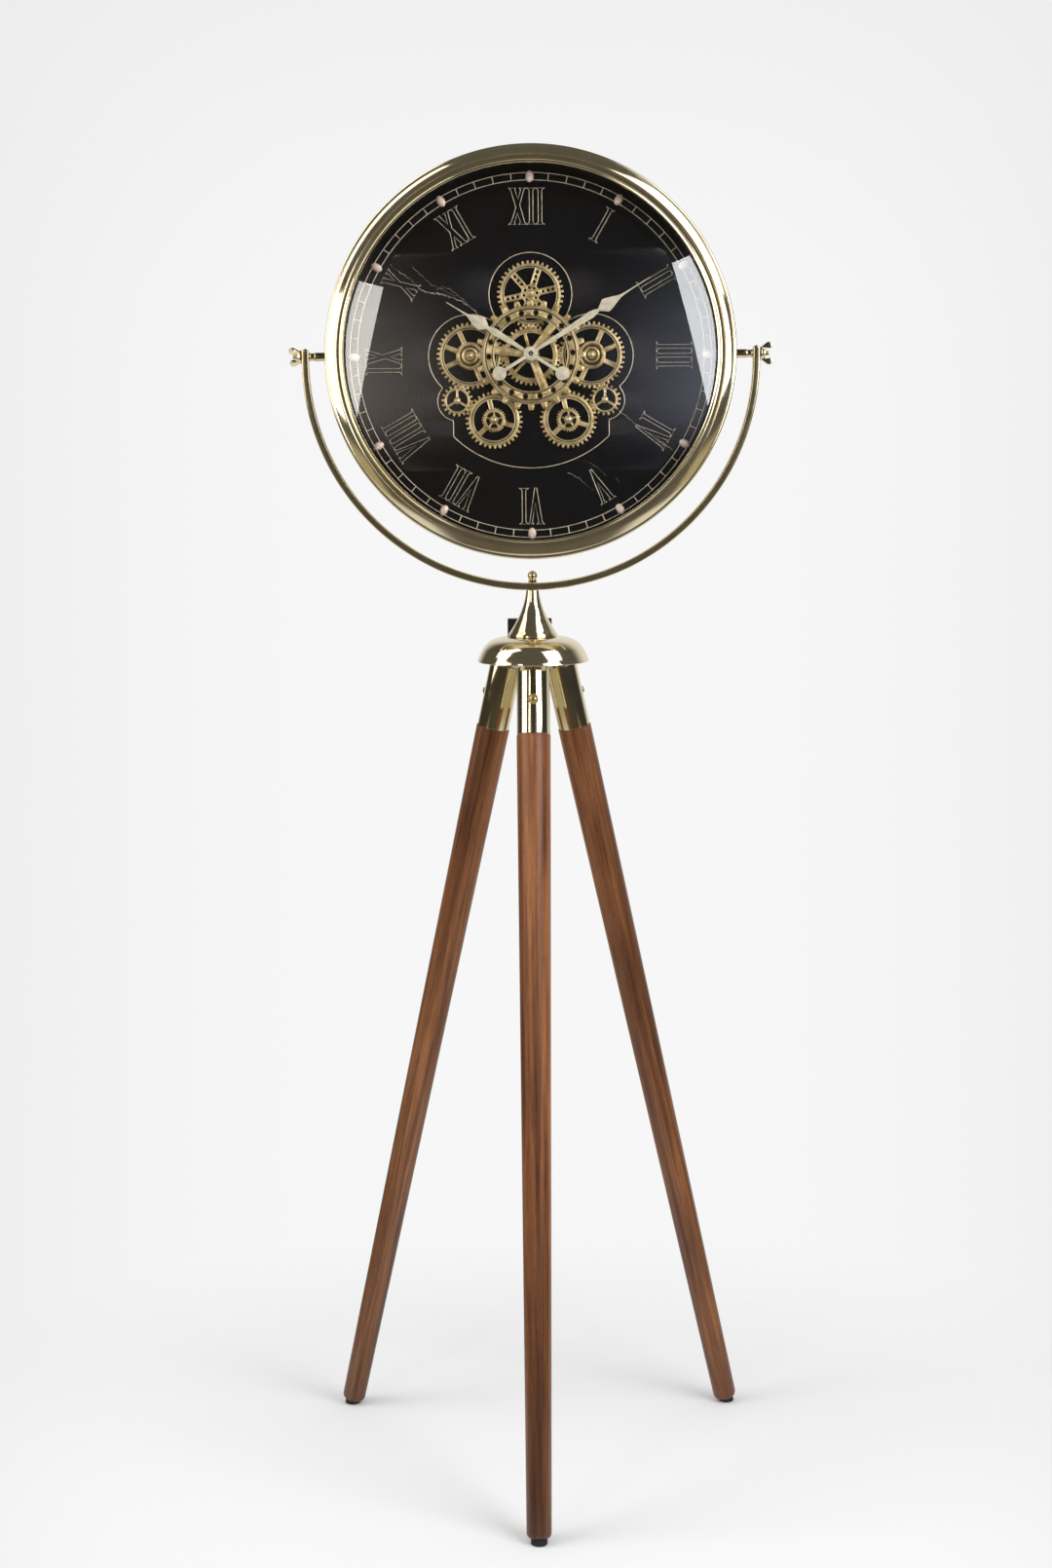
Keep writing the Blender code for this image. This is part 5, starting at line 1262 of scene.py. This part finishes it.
# Legs
SLEEVE_TOP, SHOULDER, SLEEVE_RADIUS, SLEEVE_BORE = -14.0, -94.0, 19.5, 18.0
SLEEVE_PROFILE = (
    (0, SLEEVE_TOP), (SLEEVE_RADIUS, SLEEVE_TOP), (SLEEVE_RADIUS, SHOULDER + 0.5), (19.1, SHOULDER),
    (SLEEVE_BORE, SHOULDER), (SLEEVE_BORE, SLEEVE_TOP - 4.0), (0, SLEEVE_TOP - 4.0),
)
EYE_RADIUS, EYE_HALF_WIDTH = 9.0, 6.0
EYE = arc((0, 0), EYE_RADIUS, 0, pi, 24) + [(-EYE_RADIUS, -16.0), (EYE_RADIUS, -16.0)]
HEAD_RADIUS, HEAD_END, TOE_RADIUS, TOE_END, TAPER_STEPS = 20.3, -95.5, 14.63, -1021.0, 24
leg_profile = [
    (0, -32.0), (16.2, -32.0), (17.7, -35.0), (17.7, -94.3), (19.7, -94.3), (20.25, -94.9),
]
for i in range(1, TAPER_STEPS + 1):
    share = i / TAPER_STEPS
    radius = HEAD_RADIUS + (TOE_RADIUS - HEAD_RADIUS) * share
    leg_profile.append((radius, HEAD_END + (TOE_END - HEAD_END) * share))
leg_profile += [
    (14.4, -1022.8), (13.9, -1024.4), (13.0, -1025.8), (11.9, -1026.9), (10.8, -1027.5),
    (10.4, -1027.6), (0, -1027.6),
]
SCREW_RISE, SCREW_SEAT, SCREW_END = 40.5, 19.8, -14
SCREW_CURVE = (
    (0, SCREW_END), (2.0, SCREW_END), (2.0, 0), (5.3, 0.0), (5.3, 0.45), (5.05, 1.2), (4.5, 2.0),
    (3.6, 2.8), (2.4, 3.35), (1.2, 3.58), (0, 3.6),
)
WASHER_CURVE = ((5.2, -0.25), (6.4, -0.25), (6.4, 0.1), (5.2, 0.3))
screw_profile, washer = (
    [(r, SCREW_SEAT + h) for r, h in curve] for curve in (SCREW_CURVE, WASHER_CURVE)
)
# Each slot is a dark bar: painted shade where the cut would be shaded
slot_bar = box((-3.4, -0.5, SCREW_SEAT + 2.2), (3.4, 0.5, SCREW_SEAT + 3.63))
for name, angle in LEG_ANGLES.items():
    place = leg_frame(angle)
    body = "leg_" + name
    sleeve = Shape(place)
    sleeve.add(lathe(fillet(SLEEVE_PROFILE, 0.8, steps=4), 96))
    sleeve.add(flat([EYE, circle(3.3, 24)], -EYE_HALF_WIDTH, EYE_HALF_WIDTH, 0.6), 0, UPRIGHT)
    node = "leg_sleeve_" + name
    piece(node + "_drawn", sleeve, [BRASS], body, node)

    shaft = Shape(place).add(lathe(leg_profile, 72))
    node = "leg_shaft_" + name
    piece(node + "_turned", shaft, [WALNUT[name]], body, node)

    screw = Shape(place @ shift(0, 0, SHOULDER + SCREW_RISE) @ turn(pi / 2, "Y"))
    screw.add(lathe(screw_profile, 40))
    for k in (0, 1):
        screw.add(slot_bar, 1, turn(radians(35) + k * pi / 2, "Z"))
    screw.add(lathe(fillet(washer, 0.1), 40))
    node = "leg_screw_" + name
    piece(node + "_domed", screw, [GEAR_BRASS, DARK_BRASS], body, node)

# Rubber pads, the battery box with its lid and switch, and the works behind the dial
for name in LEG_ANGLES:
    softened("foot_pad_" + name, "leg_" + name, RUBBER, 0.0008)
softened("battery_box", "tripod", PLASTIC, 0.0006)
softened("battery_lid", "lid", PLASTIC, 0.0005)
softened("switch_slider", "switch", STEEL, 0.0003)
softened("gear_motor", "head", PLASTIC, 0.0012)
softened("clock_movement", "head", PLASTIC, 0.0008)

# Back cover with its screws
COVER_FRONT, COVER_BACK = -39.8, -41.3
COVER_PROFILE = (
    (237.7, COVER_FRONT), (237.7, COVER_BACK), (232.0, COVER_BACK), (230.5, -42.6), (214.0, -42.6),
    (212.5, COVER_BACK), (63.5, COVER_BACK), (62.0, -42.3), (60.0, -42.3), (60.0, COVER_FRONT),
    (224.2, COVER_FRONT), (224.2, -35.3), (225.7, -35.3), (225.7, COVER_FRONT),
)
cover = Shape(HEAD).add(lathe(fillet(COVER_PROFILE, 0.5), 192))
dome_verts, dome_faces = oval_dome(7.0, 7.0, 1.6, 5, 20)
rivet = ([tuple(turn(pi, "X") @ Vector(v)) for v in dome_verts], dome_faces)
cover.add(round_copies(rivet, 8, 222.0, radians(22.5), STEEL), 1, shift(0, 0, -42.6))
piece("back_cover_pressed", cover, [COVER_BLACK, STEEL], "head", "back_cover")

# Finishes of the CAD nodes that stay
STAYING = {
    "spacer_ring": DIAL_BLACK, "gear_plate": DIAL_BLACK, "movement_nut": BRIGHT_BRASS,
    "gear_cell": JACKET, "clock_cell": JACKET,
    "hinge_pin_front": STEEL, "hinge_pin_left": STEEL, "hinge_pin_right": STEEL,
}
for name, paint in STAYING.items():
    nodes[name].data.materials.clear()
    nodes[name].data.materials.append(paint)


# Studio: a floor that fades out, softboxes, and a room that only reflections show
BACKGROUND = (0.935, 0.935, 0.935)
BACKGROUND_EDGE = (0.83, 0.83, 0.83)
BACKGROUND_TOP = (0.82, 0.82, 0.82)
AMBIENT = (0.55, 0.55, 0.56)
BACKDROP = (0.82, 0.82, 0.81)
LOW_SIDE = (0.40, 0.35, 0.21)
ROOM_LEFT = (0.050, 0.044, 0.031)
ROOM_RIGHT = (0.042, 0.041, 0.040)
GLOW_LEFT = (0.62, 0.54, 0.47)
GLOW_RIGHT = (0.52, 0.54, 0.65)
CEILING = (0.036, 0.032, 0.021)
FLOOR_AHEAD = (0.085, 0.070, 0.046)
FLOOR_TONE = (0.94, 0.94, 0.94)
FLOOR_RADIUS = 3200
FADE_START, FADE_END = 0.34, 0.95


def studio_floor():
    """A wide disc of paper that turns clear away from the legs."""
    verts, faces = lathe([(0, 0), (FLOOR_RADIUS / 2, 0), (FLOOR_RADIUS, 0)], 96, closed=False)
    mesh = bpy.data.meshes.new("floor")
    mesh.from_pydata([(x * MM, y * MM, z * MM) for x, y, z in verts], [], faces)
    obj = bpy.data.objects.new("floor", mesh)
    SCENE.objects.link(obj)
    p = Paint("floor_paper", Base_Color=FLOOR_TONE, Roughness=0.9, Specular_IOR_Level=0.1)
    length = p.add("ShaderNodeVectorMath", {0: p.space}, operation="LENGTH").outputs["Value"]
    both = p.flow("ShaderNodeMixShader", {
        0: p.smooth_step(length, FADE_START, FADE_END),
        1: p.shader.outputs[0],
        2: p.flow("ShaderNodeBsdfTransparent"),
    })
    p.feed(p.tree.nodes["Material Output"], "Surface", both)
    mesh.materials.append(p.mat)


def studio_world():
    """Pale for the camera, a dim room with a white backdrop for reflections. Its parts
    are bands of direction: X to the right, Y away from the camera, Z up."""
    world = bpy.data.worlds.new("studio")
    bpy.context.scene.world = world
    world.use_nodes = True
    tree = Tree(world.node_tree)
    step, mixed = tree.smooth_step, tree.mixed
    view = tree.add("ShaderNodeTexCoord").outputs["Generated"]
    way = tree.add("ShaderNodeSeparateXYZ", {0: view})
    x, y, z = (way.outputs[axis] for axis in "XYZ")
    aside = tree.math("MULTIPLY", x, x)

    def both_of(a, b):
        return tree.math("MULTIPLY", a, b)

    eye_level = both_of(step(z, -0.06, 0.08), step(z, 0.42, 0.10))
    left = both_of(step(x, -0.08, -0.36), step(x, -0.50, -0.42))
    right = both_of(step(x, 0.08, 0.38), step(x, 0.60, 0.45))
    room = mixed(step(x, -0.30, 0.30), ROOM_LEFT, ROOM_RIGHT)
    for part, tone in (
        (both_of(left, eye_level), GLOW_LEFT),
        (both_of(right, eye_level), GLOW_RIGHT),
        (step(z, 0.30, 0.60), CEILING),
        (step(z, -0.10, -0.50), FLOOR_AHEAD),
        (both_of(step(z, -0.18, -0.32), step(aside, 0.34, 0.46)), LOW_SIDE),
        (both_of(step(z, -0.46, -0.58), step(aside, 0.10, 0.25)), BACKDROP),
        (step(z, -0.80, -0.95), BACKDROP),
        (step(tree.math("MULTIPLY_ADD", x, 0.22, y), 0.42, 0.92), BACKDROP),
    ):
        room = mixed(part, room, tone)
    path = tree.add("ShaderNodeLightPath").outputs
    room = mixed(path["Is Diffuse Ray"], room, AMBIENT)
    wall = mixed(step(aside, -0.01, 0.075), BACKGROUND, BACKGROUND_EDGE)
    wall = mixed(step(z, 0.0, 0.30), wall, BACKGROUND_TOP)
    seen = mixed(path["Is Camera Ray"], room, wall)
    tree.feed(tree.tree.nodes["Background"], "Color", seen)


def lamp(name, azimuth, distance, height, size, radiance, tone, tip=0.0, roll=0.0):
    """A softbox facing the axis: azimuth from the camera's side, positive to the right."""
    light = bpy.data.lights.new(name, "AREA")
    light.shape = "RECTANGLE"
    light.size, light.size_y = size
    light.energy = radiance * pi * size[0] * size[1]
    light.color = tone
    obj = bpy.data.objects.new(name, light)
    SCENE.objects.link(obj)
    a = radians(azimuth)
    at = shift(distance * sin(a), AXIS_Y * MM - distance * cos(a), height) @ turn(a, "Z")
    obj.matrix_world = at @ turn(pi / 2 - radians(tip), "X") @ turn(radians(roll), "Z")
    obj.visible_camera = False


studio_floor()
studio_world()
WARM, WARMER, COOL = (1.0, 0.98, 0.95), (1.0, 0.965, 0.90), (0.96, 0.98, 1.0)
lamp("left_strip", -28.4, 2.35, 1.775, (0.34, 0.87), 4.2, WARMER, roll=-10)
lamp("left_softbox", -68, 2.2, 1.66, (1.5, 1.22), 2.2, WARM)
lamp("right_softbox", 42.5, 2.2, 1.855, (1.45, 1.25), 4.9, COOL, roll=12)
lamp("left_upper", -80, 1.48, 2.79, (1.1, 1.7), 2.3, WARM, tip=45)
lamp("right_upper", 53, 1.48, 2.55, (1.1, 1.15), 2.6, COOL, tip=40)

# Camera, fitted to the photograph: its height and its focal length are in pixels
IMAGE_HEIGHT = 1610.0
FOCAL = 2600.0
SENSOR_HEIGHT = 24.0
CAMERA_PLACE = (0.0101, -2.978389, 1.2909)
PITCH, ROLL, YAW = radians(8.3313), radians(-0.4756), radians(-0.3756)
camera_data = bpy.data.cameras.new("camera")
camera_data.sensor_fit = "VERTICAL"
camera_data.sensor_height = SENSOR_HEIGHT
camera_data.lens = FOCAL / IMAGE_HEIGHT * SENSOR_HEIGHT
camera = bpy.data.objects.new("camera", camera_data)
SCENE.objects.link(camera)
ahead = Vector((sin(YAW) * cos(PITCH), cos(YAW) * cos(PITCH), -sin(PITCH)))
level = Vector((cos(YAW), -sin(YAW), 0))
upward = level.cross(ahead)
right = level * cos(ROLL) + upward * sin(ROLL)
up = upward * cos(ROLL) - level * sin(ROLL)
camera.matrix_world = shift(*CAMERA_PLACE) @ Matrix((right, up, -ahead)).transposed().to_4x4()
bpy.context.scene.camera = camera
bpy.context.scene.view_settings.view_transform = "Standard"
